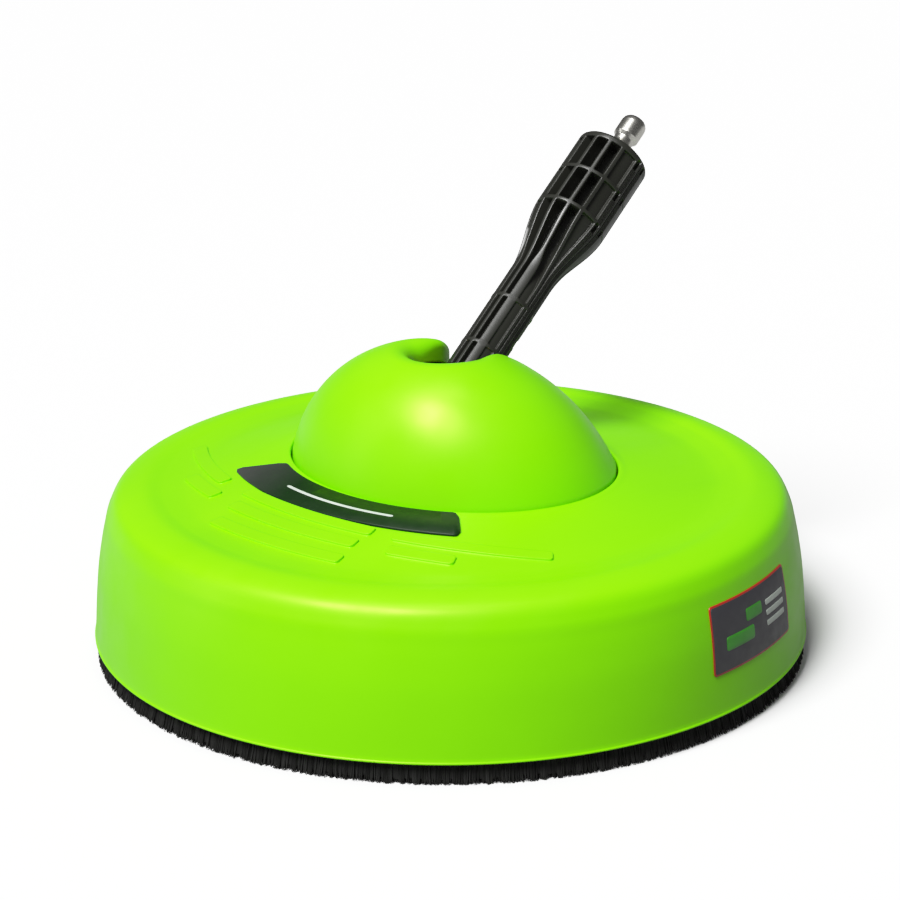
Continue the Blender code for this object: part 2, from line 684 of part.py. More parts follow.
def swivel_housing():
    low = PLATE_Z[0] - GAP
    outside = [(HOUSING_RADIUS, HOUSING_BOTTOM), (HOUSING_RADIUS, low - 3), (HOUSING_FLANGE, low - 3)]
    outside += [(HOUSING_FLANGE, low), (9.0, low), (9.0, 66.0)]
    inside = [(AXLE_BORE, 66.0), (AXLE_BORE, 57.0), (BEARING_BORE, 57.0), (BEARING_BORE, HOUSING_BOTTOM)]
    housing = add_object("swivel_housing", turned(outside + inside, 28), "aluminium")
    for azimuth in PLATE_SCREW_AZIMUTHS:
        x, y = around(SWIVEL_SCREW_CIRCLE, azimuth)
        cut(housing, moved(rod(2.0, low - 5, 70, 8), shift(x, y, 0)))


def bearing(name, low, rotor):
    """Deep-groove ball bearing: outer race in the housing, inner race on the spindle."""
    high = low + BEARING_HEIGHT
    add_object(f"bearing_outer_{name}", washer(9.4, BEARING_BORE - GAP, low, high), "zinc_steel")
    add_object(f"bearing_inner_{name}", washer(SPINDLE_RADIUS + GAP, 7.4, low, high), "zinc_steel", rotor)


def ball_cage(name, low, cages):
    """Cage that carries the balls between the races."""
    ring = washer(7.75, 9.0, low + 1.0, low + BEARING_HEIGHT - 1.0)
    add_object(f"ball_cage_{name}", ring, "brass", cages)


def rotor_parts(rotor):
    outside = [(SPINDLE_RADIUS, SPINDLE_FOOT), (SPINDLE_RADIUS, 56.7)]
    inside = [(AXLE_BORE, 56.7), (AXLE_BORE, SPINDLE_FOOT)]
    add_object("spindle", turned(outside + inside), "stainless", rotor)
    hub = add_object("rotor_hub", rod(13.0, 21.5, 34.0, 24), "brass", rotor)
    join(hub, rod(8.0, 30.0, 35.5))
    cut(hub, rod(SPINDLE_RADIUS + GAP, SPINDLE_FOOT - GAP, 40))
    cut(hub, moved(rod(ARM_RADIUS + GAP, -20, 20, 16), ALONG_X, shift(0, 0, ARM_Z)))
    cut(hub, rod(2.6, 20, 25, 12))
    plug = add_object("hub_plug", rod(7.0, 17.2, 21.2, 6), "zinc_steel", rotor)
    join(plug, rod(2.3, 20.0, 22.9, 12))
    for name, side in (("left", -1), ("right", 1)):
        spray_arm(name, side, rotor)


def spray_arm(name, side, rotor):
    tube = moved(washer(2.8, ARM_RADIUS, 8.0, NOZZLE_CIRCLE - 4), ALONG_X)
    if side < 0:
        moved(tube, turn(180, "Z"))
    arm = add_object(f"spray_arm_{name}", tube, "stainless", rotor)
    arm.location.z = ARM_Z * MM
    tilt = turn(side * NOZZLE_TILT, "X")
    body = moved(rod(8.5, -9.0, 8.0), tilt)
    holder = add_object(f"nozzle_holder_{name}", body, "black_plastic", rotor)
    holder.location = Vector((side * NOZZLE_CIRCLE, 0, ARM_Z)) * MM
    socket = moved(rod(ARM_RADIUS + GAP, 3.5, 20, 16), ALONG_X)
    if side > 0:
        moved(socket, turn(180, "Z"))
    cut(holder, socket)
    cut(holder, moved(rod(3.6, -12, 2, 14), tilt))
    tip = [(3.3, -2.5), (3.3, -9.3), (5.6, -9.3), (5.6, -12.6), (3.6, -14.6), (0.7, -14.6), (0.7, -2.5)]
    nozzle = add_object(f"nozzle_{name}", moved(turned(tip, 14), tilt), "brass", rotor)
    nozzle.location = holder.location


def swivel_seals():
    add_object("shaft_seal", washer(SPINDLE_RADIUS + GAP, 10.6, 37.6, 40.2), "seal_rubber")
    add_object("housing_clip", washer(8.6, 10.6, 36.0, 37.2), "zinc_steel")


# ---------------------------------------------------------------- assembly

def build():
    clear_scene()
    lance_axis = add_empty("lance_axis", (0, 0, PIVOT_Z), (math.radians(LANCE_ELEVATION - 90), 0, 0))
    rotor_axis = add_empty("rotor_axis", (0, 0, 0))
    cage_axis = add_empty("cage_axis", (0, 0, 0))
    deck_shell()
    dome_cover()
    badge_plate()
    side_label()
    brush_ring()
    splash_plate()
    fasteners_under_deck()
    pivot_cradle()
    axle_parts()
    feed_line()
    lance_parts(lance_axis)
    swivel_housing()
    for name, low in BEARING_BOTTOMS.items():
        bearing(name, low, rotor_axis)
        ball_cage(name, low, cage_axis)
    swivel_seals()
    rotor_parts(rotor_axis)
    bpy.context.view_layer.update()


build()
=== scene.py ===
"""Looks of the surface cleaner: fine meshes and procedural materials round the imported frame.

Lengths are in millimetres and become metres where a mesh is made.  The frame is the CAD
frame: +Z up, -Y the front with the badge, the lance leaning towards +Y.
"""
import json
from math import acos, asin, cos, degrees, hypot, pi, radians, sin, sqrt, tan

import bmesh
import bpy
import numpy as np
from mathutils import Matrix, Vector


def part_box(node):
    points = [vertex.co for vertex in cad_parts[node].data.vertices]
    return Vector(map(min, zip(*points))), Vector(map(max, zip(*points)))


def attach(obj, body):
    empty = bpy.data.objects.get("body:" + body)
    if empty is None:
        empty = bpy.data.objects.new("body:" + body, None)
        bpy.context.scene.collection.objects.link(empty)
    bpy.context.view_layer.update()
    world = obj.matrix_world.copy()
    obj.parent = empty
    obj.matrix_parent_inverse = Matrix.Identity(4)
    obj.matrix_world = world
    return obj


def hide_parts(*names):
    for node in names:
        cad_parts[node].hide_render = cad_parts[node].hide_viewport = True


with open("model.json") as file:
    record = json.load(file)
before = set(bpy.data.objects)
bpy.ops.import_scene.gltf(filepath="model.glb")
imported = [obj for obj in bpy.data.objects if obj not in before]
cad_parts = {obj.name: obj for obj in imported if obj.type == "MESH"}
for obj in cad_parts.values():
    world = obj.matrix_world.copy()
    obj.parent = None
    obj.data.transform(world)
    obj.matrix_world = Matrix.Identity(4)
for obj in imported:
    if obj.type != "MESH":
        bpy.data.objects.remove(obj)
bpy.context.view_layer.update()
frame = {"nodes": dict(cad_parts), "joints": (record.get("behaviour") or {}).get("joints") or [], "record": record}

MM = 0.001
JOINTS = {joint["name"]: joint for joint in frame["joints"]}
MOUNTS = {mount["name"]: mount for mount in frame["record"]["mounts"]}


def box(node):
    """A CAD node's corners in millimetres."""
    low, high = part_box(node)
    return low / MM, high / MM


def level_range(node):
    low, high = box(node)
    return low.z, high.z


# Deck: a turned shell round an oval opening, a little slimmer and deeper than its CAD node
RIM_Z = level_range("deck_shell")[0] - 1.0
RIM_RADIUS = box("deck_shell")[1].x - 2.2
DECK_WALL = 2.0
DECK_COLUMNS = 480
VALLEY_RADIUS = 115.0
VALLEY_Z = 72.0
VALLEY_SOFTNESS = 8.0
MOUTH_ROUND = 0.9  # rounded edge round the dome's base
MOUTH_SINK = 0.15  # how far the deck's top lies under the cone that carries the badge
CREST_SLOPE = 0.127

# Dome: an ellipsoid sheared towards the front, with a curled slot for the lance
DOME_CENTRE_Y = 7.6
DOME_CENTRE_Z = 57.0
DOME_SEMI = (76.6, 63.1, 76.9)
DOME_LEAN = 0.207
DOME_BASE_Z = 81.6
DOME_SEAM = 0.8
DOME_COLUMNS = 400
DOME_WALL = 2.4
SLOT_HALF_WIDTH = 14.0
SLOT_FRONT_Y = -3.0
SLOT_STRAIGHT_END = 12.2
SLOT_FLARE_RADIUS = 16.0
SLOT_FLARE_TURN = 63.0
SLOT_BACK_RADIUS = 8.0
SLOT_BACK_Y = 51.0
SLOT_HUB_Y = 20.0  # a point inside the slot, from where its outline is measured
SLOT_LIP_DEPTH = 10.5
CURL_FRONT, CURL_MIDDLE, CURL_BACK = 9.5, 4.0, 3.0  # radius of the lip's curl
FLANGE = ((0.0, 79.4), (0.1, 77.6), (0.6, 76.8), (1.4, 76.5), (4.5, 76.5), (8.5, 76.5))  # (outwards, z)

# Lance: its own axis runs along local Z, and local -Y is its upper side
PIVOT = Vector(JOINTS["lance_tilt"]["pos_m"]) / MM
LANCE_LENGTHWISE = Vector(MOUNTS["plug_end"]["axis"])
LANCE_START = 13.5
LANCE_END = 140.4
LANCE_THIN_RADIUS = 10.0
LANCE_THICK_RADIUS = 16.4
LANCE_TAPER = (69.0, 103.0)
LANCE_RINGS = (27.0, 52.3, 102.0, 120.3)
LANCE_RING_WIDTH = 0.8  # the flat on top; each edge is rounded beyond it
LANCE_EDGE_ROUND = 0.5
LANCE_RIM = 138.3
LANCE_RIM_ROUND = 1.5
SEAM_HALF = 0.15  # half the gap between the two shells
RIB_HALF = 0.42  # half the width of the rib along the top line
SIDE_START = 78.0  # degrees from the top line to the joint's own relief
POCKET_WALL = (0.43, 0.65)  # where a pocket's wall drops, measured inwards from its edge
FULL_POCKET = 3.4  # a narrower pocket squeezes its edges

PLATE_Z = level_range("splash_plate")
PLATE_SCREW_CIRCLE = 100.0
SCREW_AZIMUTHS = (45, 135, 225, 315)
ARM_Z = 28.0
NOZZLE_CIRCLE = 118.0
NOZZLE_TILT = 12.0


# ---- mesh helpers

def smooth_step(share):
    share = np.clip(share, 0.0, 1.0)
    return share * share * (3 - 2 * share)


def sheet(rows, join_rows=False):
    """Quads over a grid of points; each row closes on itself, and the rows may too."""
    rows = np.asarray(rows, float)
    index = np.arange(rows[..., 0].size).reshape(rows.shape[:2])
    if join_rows:
        index = np.vstack([index, index[:1]])
    index = np.hstack([index, index[:, :1]])
    quads = np.stack([index[:-1, :-1], index[:-1, 1:], index[1:, 1:], index[1:, :-1]], -1)
    return rows.reshape(-1, 3), quads.reshape(-1, 4).tolist()


def capped(rows):
    """A closed solid skinned over closed rows, with a flat cap at each end."""
    points, faces = sheet(rows)
    count = np.asarray(rows).shape[1]
    return points, faces + [list(range(count)), list(range(len(points) - count, len(points)))]


def rounded(outline, radius, steps=4, closed=True):
    """The outline with each corner replaced by an arc, shortened where a side is short."""
    outline = [np.array(point, float) for point in outline]
    result = []
    for index, corner in enumerate(outline):
        if not closed and index in (0, len(outline) - 1):
            result.append(corner)
            continue
        before = outline[index - 1] - corner
        after = outline[(index + 1) % len(outline)] - corner
        reach_before, reach_after = np.linalg.norm(before), np.linalg.norm(after)
        before, after = before / reach_before, after / reach_after
        half = acos(max(-1.0, min(1.0, float(before @ after)))) / 2
        if half > radians(86):
            result.append(corner)
            continue
        setback = min(radius / tan(half), 0.45 * reach_before, 0.45 * reach_after)
        bend = setback * tan(half)
        middle = before + after
        centre = corner + middle / np.linalg.norm(middle) * bend / sin(half)
        first = corner + before * setback - centre
        last = corner + after * setback - centre
        span = pi - 2 * half
        for step in range(steps + 1):
            share = step / steps
            mix = (sin((1 - share) * span) * first + sin(share * span) * last) / sin(span)
            result.append(centre + mix)
    return result


def subdivided(outline, steps_for):
    """A closed outline with each side split into as many steps as its length asks for."""
    result = []
    for first, second in zip(outline, [*outline[1:], outline[0]]):
        steps = steps_for(np.linalg.norm(second - first))
        result += [first + (second - first) * i / steps for i in range(steps)]
    return np.array(result)


def polar(radius, azimuth, z):
    """Points from radii, azimuths in radians and heights."""
    return np.stack(np.broadcast_arrays(radius * np.cos(azimuth), radius * np.sin(azimuth), z), -1)


def on_circle(radius, azimuth):
    """Plan place at an azimuth in degrees."""
    return radius * cos(radians(azimuth)), radius * sin(radians(azimuth))


def oblong(left, right, low, high):
    return [(left, low), (right, low), (right, high), (left, high)]


def turned(outline, radius=0.5, segments=96, hollow=True):
    """A ring turned from a closed outline, or a solid turned from an open one."""
    angles = np.linspace(0, 2 * pi, segments, endpoint=False)
    rows = [polar(r, angles, z) for r, z in rounded(outline, radius, closed=hollow)]
    return sheet(rows, join_rows=True) if hollow else capped(rows)


def placed(shape, matrix):
    """The shape moved by a 4x4 matrix."""
    points, faces = shape
    matrix = np.array(matrix)
    return points @ matrix[:3, :3].T + matrix[:3, 3], faces


def shift(x, y, z):
    return Matrix.Translation((x, y, z))


def spin(angle, axis):
    return Matrix.Rotation(radians(angle), 4, axis)


ALONG_X = spin(90, "Y")
LANCE_PLACE = shift(*PIVOT) @ spin(degrees(asin(LANCE_LENGTHWISE.z)) - 90, "X")


def build_mesh(name, shapes):
    """One mesh in metres from several closed shapes in millimetres, turned outwards."""
    faces, base = [], 0
    for points, shape_faces in shapes:
        faces += [[corner + base for corner in face] for face in shape_faces]
        base += len(points)
    mesh = bpy.data.meshes.new(name)
    mesh.from_pydata((np.vstack([points for points, _ in shapes]) * MM).tolist(), [], faces)
    bm = bmesh.new()
    bm.from_mesh(mesh)
    bmesh.ops.recalc_face_normals(bm, faces=bm.faces)
    bm.to_mesh(mesh)
    bm.free()
    return mesh


def add_object(name, data):
    obj = bpy.data.objects.new(name, data)
    bpy.context.scene.collection.objects.link(obj)
    return obj


def make_piece(name, shapes, body, slot, stands_for=(), look=None, sharp=42):
    """A named piece that rides on a body and may stand for CAD nodes; its slot gives its usual look."""
    mesh = build_mesh(name, shapes)
    mesh.shade_smooth()
    mesh.set_sharp_from_angle(angle=radians(sharp))
    mesh.materials.append(look or SLOT_LOOKS[slot])
    obj = add_object(name, mesh)
    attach(obj, body)
    if stands_for:
        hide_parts(*stands_for)
    return obj


def apply_modifiers(obj):
    """Bake the object's modifiers into its mesh."""
    bpy.context.view_layer.update()
    graph = bpy.context.evaluated_depsgraph_get()
    mesh = bpy.data.meshes.new_from_object(obj.evaluated_get(graph))
    obj.modifiers.clear()
    obj.data = mesh


def cut(obj, shapes):
    """Take closed millimetre shapes out of the object."""
    tool = add_object("tool", build_mesh("tool", shapes))
    step = obj.modifiers.new("cut", "BOOLEAN")
    step.object = tool
    apply_modifiers(obj)
    bpy.data.objects.remove(tool, do_unlink=True)
    obj.data.set_sharp_from_angle(angle=radians(42))


# ---- materials

def start_material(name):
    material = bpy.data.materials.new(name)
    material.use_nodes = True
    tree = material.node_tree
    return material, tree, tree.nodes["Principled BSDF"]


def add(tree, kind, settings=None, **inputs):
    """A shader node with its settings and its inputs, each a value or another node's socket."""
    item = tree.nodes.new("ShaderNode" + kind)
    for key, value in (settings or {}).items():
        setattr(item, key, value)
    set_inputs(tree, item, **inputs)
    return item


def set_inputs(tree, item, **inputs):
    """Feed a node's inputs by name; an underscore stands for a space."""
    for key, value in inputs.items():
        feed(tree, item.inputs[key.replace("_", " ")], value)


def feed(tree, socket, value):
    if isinstance(value, bpy.types.NodeSocket):
        tree.links.new(value, socket)
    else:
        socket.default_value = value


def own_place(tree):
    """The point in the object's own metres."""
    return add(tree, "TexCoord").outputs["Object"]


def noise(tree, scale, detail=3.0, stretch=(1, 1, 1)):
    """Noise fixed to the object; a stretch below 1 draws it out along that axis."""
    vector = add(tree, "Mapping", Vector=own_place(tree), Scale=stretch).outputs["Vector"]
    return add(tree, "TexNoise", Vector=vector, Scale=scale, Detail=detail).outputs["Fac"]


def remap(tree, value, low=0.0, high=1.0, source=(0.3, 0.7)):
    low_end, high_end = source
    item = add(tree, "MapRange", Value=value, From_Min=low_end, From_Max=high_end, To_Min=low, To_Max=high)
    return item.outputs["Result"]


def blend_colour(tree, share, first, second):
    item = add(tree, "Mix", {"data_type": "RGBA"})
    feed(tree, item.inputs["Factor"], share)
    feed(tree, item.inputs[6], first)
    feed(tree, item.inputs[7], second)
    return item.outputs[2]


def product(tree, first, second):
    item = add(tree, "Math", {"operation": "MULTIPLY"})
    feed(tree, item.inputs[0], first)
    feed(tree, item.inputs[1], second)
    return item.outputs[0]


def softened(tree, radius):
    """The normal with sharp edges rounded to a radius in millimetres."""
    return add(tree, "Bevel", {"samples": 4}, Radius=radius * MM).outputs["Normal"]


def edge_share(tree, radius):
    """How close a point is to a sharp edge, from 0 on a flat to 1 on the edge."""
    dot = add(tree, "VectorMath", {"operation": "DOT_PRODUCT"})
    feed(tree, dot.inputs[0], softened(tree, radius))
    feed(tree, dot.inputs[1], add(tree, "NewGeometry").outputs["Normal"])
    return remap(tree, dot.outputs["Value"], 1.0, 0.0, (0.75, 0.985))


def relief(tree, pattern, strength, height, **edges):
    """The normal of a surface with a fine relief, its height in millimetres."""
    bump = add(tree, "Bump", Strength=strength, Distance=height * MM, Height=pattern, **edges)
    return bump.outputs["Normal"]


def tint(colour, factor):
    return tuple(min(1.0, channel * factor) for channel in colour) + (1.0,)


def plastic(name, colour, roughness, grain=0.35, height=0.02, edge_wear_and_highlight=1.25, soft_edge=0.35, mottle=0.05,
            specular=0.5, sheen=(1, 1, 1)):
    """Moulded plastic: faint mottling, fine spark-eroded grain, uneven sheen, and edges lightened in colour,
    partly rubbed wear and partly a painted highlight.
    """
    material, tree, shader = start_material(name)
    clouds = remap(tree, noise(tree, 14.0, 4.0))
    base = blend_colour(tree, clouds, tint(colour, 1 - mottle), tint(colour, 1 + mottle))
    # Edges are lightened in the base colour: partly rubbed wear, partly a painted highlight on rib tops and edges.
    worn_and_highlit_edges = product(tree, edge_share(tree, soft_edge), remap(tree, noise(tree, 160.0), 0.25, 1.0))
    smears = noise(tree, 60.0, 5.0, (1, 0.25, 1))
    fine = noise(tree, 1000.0 / grain, 2.0)
    set_inputs(tree, shader, Base_Color=blend_colour(tree, worn_and_highlit_edges, base, tint(colour, edge_wear_and_highlight)),
               Roughness=remap(tree, smears, roughness - 0.05, roughness + 0.07),
               Specular_IOR_Level=specular, Specular_Tint=(*sheen, 1),
               Normal=relief(tree, fine, 0.6, height, Normal=softened(tree, soft_edge)))
    return material


def metal(name, colour, roughness, stretch=(1, 1, 1), grain=0.25, height=0.006, dull=0.85):
    """Machined metal: drawn-out tool marks, patches of duller skin and bright edges."""
    material, tree, shader = start_material(name)
    patches = remap(tree, noise(tree, 110.0, 4.0))
    base = blend_colour(tree, patches, tint(colour, dull), tint(colour, 1.05))
    marks = noise(tree, 1000.0 / grain, 3.0, stretch)
    set_inputs(tree, shader, Metallic=1.0,
               Base_Color=blend_colour(tree, edge_share(tree, 0.25), base, tint(colour, 1.25)),
               Roughness=remap(tree, marks, roughness - 0.07, roughness + 0.12),
               Normal=relief(tree, marks, 0.5, height, Normal=softened(tree, 0.2)))
    return material


def film(name, colour, roughness, coat=0.3, colour_along_x=None, specular=0.5):
    """Printed film under a clear layer, with faint orange peel and small scuffs; its colour may shift to another
    along +X.
    """
    material, tree, shader = start_material(name)
    clouds = remap(tree, noise(tree, 90.0, 4.0))
    base = blend_colour(tree, clouds, tint(colour, 0.9), tint(colour, 1.1))
    scuffs = remap(tree, noise(tree, 420.0, 2.0, (1, 0.12, 1)), 0.0, 0.5, (0.66, 0.76))
    base = blend_colour(tree, scuffs, base, tint(colour, 1.4))
    # Towards +X the colour shifts to a second colour.
    if colour_along_x:
        place = add(tree, "SeparateXYZ", Vector=own_place(tree)).outputs["X"]
        base = blend_colour(tree, remap(tree, place, source=(-0.080, -0.030)), base, (*colour_along_x, 1))
    set_inputs(tree, shader, Base_Color=base, Specular_IOR_Level=specular,
               Roughness=remap(tree, noise(tree, 200.0), roughness - 0.04, roughness + 0.08),
               Coat_Weight=coat, Coat_Roughness=0.18,
               Normal=relief(tree, noise(tree, 900.0, 2.0), 0.4, 0.01))
    return material


def bristle_material():
    """Black nylon: dark roots, slightly greyer tips and a fine lengthwise streak."""
    material, tree, shader = start_material("bristle_nylon_look")
    height = add(tree, "SeparateXYZ", Vector=own_place(tree)).outputs["Z"]
    tips = remap(tree, height, 1.0, 0.0, (0.0, 9.0 * MM))
    streak = remap(tree, noise(tree, 1400.0, 2.0, (1, 1, 0.05)))
    dark = blend_colour(tree, streak, (0.002, 0.002, 0.002, 1), (0.008, 0.008, 0.0075, 1))
    set_inputs(tree, shader, Base_Color=blend_colour(tree, tips, dark, (0.011, 0.011, 0.010, 1)),
               Roughness=remap(tree, streak, 0.5, 0.7, (0, 1)), Specular_IOR_Level=0.25,
               Normal=relief(tree, streak, 0.5, 0.05))
    return material


GREEN = plastic("green_plastic_look", (0.215, 0.75, 0.0), 0.36, grain=0.45, height=0.018, edge_wear_and_highlight=1.12,
                mottle=0.03, specular=0.5, sheen=(0.9, 1.0, 0.3))
# The black plastic's edges are lightened threefold, mostly a painted highlight along the lance's rib tops.
BLACK = plastic("black_plastic_look", (0.020, 0.0205, 0.0165), 0.34, grain=0.30, height=0.03, edge_wear_and_highlight=3.0)
UNDER = plastic("under_plastic_look", (0.016, 0.016, 0.016), 0.50, grain=0.50, height=0.05, edge_wear_and_highlight=2.0)
BUSH = plastic("bush_plastic_look", (0.70, 0.68, 0.60), 0.45, edge_wear_and_highlight=1.1)
RUBBER = plastic("seal_rubber_look", (0.014, 0.014, 0.014), 0.78, grain=0.2, height=0.03, edge_wear_and_highlight=1.5)
BADGE = film("charcoal_film_look", (0.058, 0.055, 0.058), 0.42, coat=0.0, colour_along_x=(0.004, 0.022, 0.003),
             specular=0.25)
LABEL = film("label_film_look", (0.040, 0.039, 0.046), 0.45, coat=0.05)
LABEL_RED = film("label_red_look", (0.42, 0.022, 0.012), 0.40, coat=0.1)
LABEL_GREEN = film("label_green_look", (0.035, 0.30, 0.01), 0.40, coat=0.1)
LABEL_PALE = film("label_pale_look", (0.50, 0.56, 0.50), 0.40, coat=0.1)
STEEL = metal("stainless_look", (0.74, 0.73, 0.68), 0.27, stretch=(1, 1, 0.2))
BRASS = metal("brass_look", (0.66, 0.45, 0.16), 0.30)
ZINC = metal("zinc_steel_look", (0.60, 0.60, 0.62), 0.34, dull=0.7)
ALUMINIUM = metal("aluminium_look", (0.62, 0.62, 0.64), 0.40, dull=0.8)
BRISTLE = bristle_material()

SLOT_LOOKS = {
    "green_plastic": GREEN, "black_plastic": BLACK, "charcoal_film": BADGE, "label_film": LABEL,
    "bristle_nylon": BRISTLE, "stainless": STEEL, "brass": BRASS, "zinc_steel": ZINC,
    "aluminium": ALUMINIUM, "seal_rubber": RUBBER, "bush_plastic": BUSH,
}


def dress_cad_nodes():
    """Give each CAD node that stays visible the finish of its own slot."""
    for node in frame["nodes"].values():
        for index, old in enumerate(node.data.materials):
            base = old.name.split(".")[0]
            node.data.materials[index] = SLOT_LOOKS.get(base, BLACK)


# ---- deck

def opening_radius(azimuth):
    """Distance from the vertical axis to the dome's base oval along each direction."""
    rise = DOME_BASE_Z - DOME_CENTRE_Z
    scale = sqrt(1 - (rise / DOME_SEMI[2]) ** 2)
    half_x, half_y = DOME_SEMI[0] * scale, DOME_SEMI[1] * scale
    centre = DOME_CENTRE_Y - DOME_LEAN * rise
    c, s = np.cos(azimuth), np.sin(azimuth)
    a = (c / half_x) ** 2 + (s / half_y) ** 2
    b = -2 * s * centre / half_y ** 2
    k = (centre / half_y) ** 2 - 1
    return (-b + np.sqrt(b * b - 4 * a * k)) / (2 * a)


def cone_height(x, y):
    """Height of the deck's top between the valley and the oval opening."""
    radius = np.hypot(x, y)
    edge = opening_radius(np.arctan2(y, x))
    slope = (VALLEY_Z - DOME_BASE_Z) / (VALLEY_RADIUS - edge)
    return DOME_BASE_Z + slope * (radius - edge) + valley_fillet(radius, slope)


def on_cone(x, y, lift):
    """Points at a height above the cone."""
    return np.stack([x, y, cone_height(x, y) + lift], -1)


def valley_fillet(radius, slope):
    """Rise that rounds the crease between the cone and the crest."""
    reach = np.maximum(0.0, VALLEY_SOFTNESS - np.abs(radius - VALLEY_RADIUS))
    return (CREST_SLOPE - slope) * reach ** 2 / (4 * VALLEY_SOFTNESS)


# (radius, height) up the deck's side, over the crest and down to the valley
SHOULDER = [(RIM_RADIUS - 0.1, RIM_Z + 1.3), (149.4, 24.0), (148.2, 38.0), (146.7, 48.0), (145.1, 56.0),
            (143.2, 63.2), (138.9, 70.0), (129.0, 73.3), (120.5, 72.7), (VALLEY_RADIUS, VALLEY_Z)]

# Rounded bead along the deck's lower edge: (outwards, upwards) from the rim
DECK_BEAD = [(-0.7, 0.0), (0.1, 0.10), (0.32, 0.35), (0.35, 0.6), (0.22, 0.9), (-0.03, 1.1)]


def curve_through(points, steps):
    """Catmull-Rom curve through the points."""
    points = np.array(points, float)
    ends = np.vstack([2 * points[0] - points[1], points, 2 * points[-1] - points[-2]])
    result = []
    for p0, p1, p2, p3 in zip(ends, ends[1:], ends[2:], ends[3:]):
        for t in np.arange(steps) / steps:
            blend = 2 * p1 + (p2 - p0) * t + (2 * p0 - 5 * p1 + 4 * p2 - p3) * t * t
            result.append(0.5 * (blend + (3 * p1 - p0 - 3 * p2 + p3) * t ** 3))
    result.append(points[-1])
    return np.array(result)


def wall_radius(z):
    """Outer radius of the deck's side at a height."""
    curve = curve_through(SHOULDER[:7], 8)
    return np.interp(z, curve[:, 1], curve[:, 0])


def deck_rows():
    """Rows of points round the deck, outside first, then inside; a height of None follows the cone."""
    azimuth = np.linspace(0, 2 * pi, DECK_COLUMNS, endpoint=False)
    edge = opening_radius(azimuth) + DOME_SEAM
    rows = [(RIM_RADIUS + out, RIM_Z + up) for out, up in DECK_BEAD]
    cone_slope = (VALLEY_Z - DOME_BASE_Z) / (VALLEY_RADIUS - edge + DOME_SEAM)
    rows += [(r, z + valley_fillet(r, cone_slope)) for r, z in curve_through(SHOULDER, 8)]
    for share in np.linspace(0, 1, 26)[1:-1]:
        rows.append((VALLEY_RADIUS + (edge + MOUTH_ROUND - VALLEY_RADIUS) * share, None))
    for angle in np.radians((0, 22, 45, 68, 90)):
        drop = MOUTH_SINK + MOUTH_ROUND * (1 - np.cos(angle))
        rows.append((edge + MOUTH_ROUND - MOUTH_ROUND * np.sin(angle), DOME_BASE_Z - drop))
    rows.append((edge, DOME_BASE_Z - DECK_WALL))
    rows.append((VALLEY_RADIUS, VALLEY_Z - DECK_WALL))
    outer = curve_through(SHOULDER, 4)[::-1]
    for index, (r, z) in enumerate(outer[:-1]):
        back, ahead = outer[max(index - 1, 0)], outer[index + 1]
        along = (ahead - back) / np.linalg.norm(ahead - back)
        rows.append((r - DECK_WALL * abs(along[1]), z - DECK_WALL * abs(along[0])))
    rows.append((RIM_RADIUS - DECK_WALL, RIM_Z + 1))
    rows.append((RIM_RADIUS - DECK_WALL + 0.6, RIM_Z))
    grid = []
    for radius, z in rows:
        points = polar(radius, azimuth, 0.0 if z is None else z)
        if z is None:
            points = on_cone(points[:, 0], points[:, 1], -MOUTH_SINK)
        grid.append(points)
    return grid


# Raised bars on arcs about a point behind the dome: (arc radius, half height of bar, x from, x to)
ARC_CENTRE_Y = 70.0
ARC_BARS = [(174.0, 3.2, -43.0, 27.0), (161.0, 3.2, -86.0, -60.0), (161.0, 3.2, -46.0, 24.0),
            (161.0, 3.2, 38.0, 65.0), (151.8, 3.0, -110.0, -66.0), (150.5, 3.0, -49.0, 24.0),
            (150.5, 3.0, 33.0, 92.0)]
BAR_HEIGHT = 0.8
BAR_CORNER = 1.6


def arc_bar(radius, half, x_low, x_high):
    """A low raised bar with rounded ends and a chamfered top, following the deck's cone."""
    start, end = [asin(x / radius) for x in (x_low, x_high)]
    length = radius * (end - start)
    outline = rounded(oblong(0, length, -half, half), BAR_CORNER, 5)
    dense = subdivided(outline, lambda length: max(1, int(length / 2.0)))

    def inset_row(from_ends, from_sides, lift):
        angle = start + np.clip(dense[:, 0], from_ends, length - from_ends) / radius
        reach = radius + np.clip(dense[:, 1], from_sides - half, half - from_sides)
        return on_cone(reach * np.sin(angle), ARC_CENTRE_Y - reach * np.cos(angle), lift)

    chamfer = ((0.0, -0.6), (0.0, BAR_HEIGHT - 0.15), (0.05, BAR_HEIGHT - 0.04), (0.15, BAR_HEIGHT),
               (0.8, BAR_HEIGHT))
    middle_line = inset_row(2.0, half, BAR_HEIGHT)
    points, faces = sheet([inset_row(inset, inset, lift) for inset, lift in chamfer] + [middle_line])
    return points, faces + [list(range(len(dense)))]


def deck_piece():
    shapes = [sheet(deck_rows(), join_rows=True)]
    shapes += [arc_bar(*bar) for bar in ARC_BARS]
    for azimuth in SCREW_AZIMUTHS:
        x, y = on_circle(PLATE_SCREW_CIRCLE, azimuth)
        boss = [(1.7, PLATE_Z[1] + 0.3), (5.0, PLATE_Z[1] + 0.3), (5.6, 73.6), (1.7, 73.6)]
        shapes.append(placed(turned(boss, 0.4, 40), shift(x, y, 0)))
    make_piece("deck_body", shapes, "deck", "green_plastic", ["deck_shell"], sharp=50)


# ---- dome

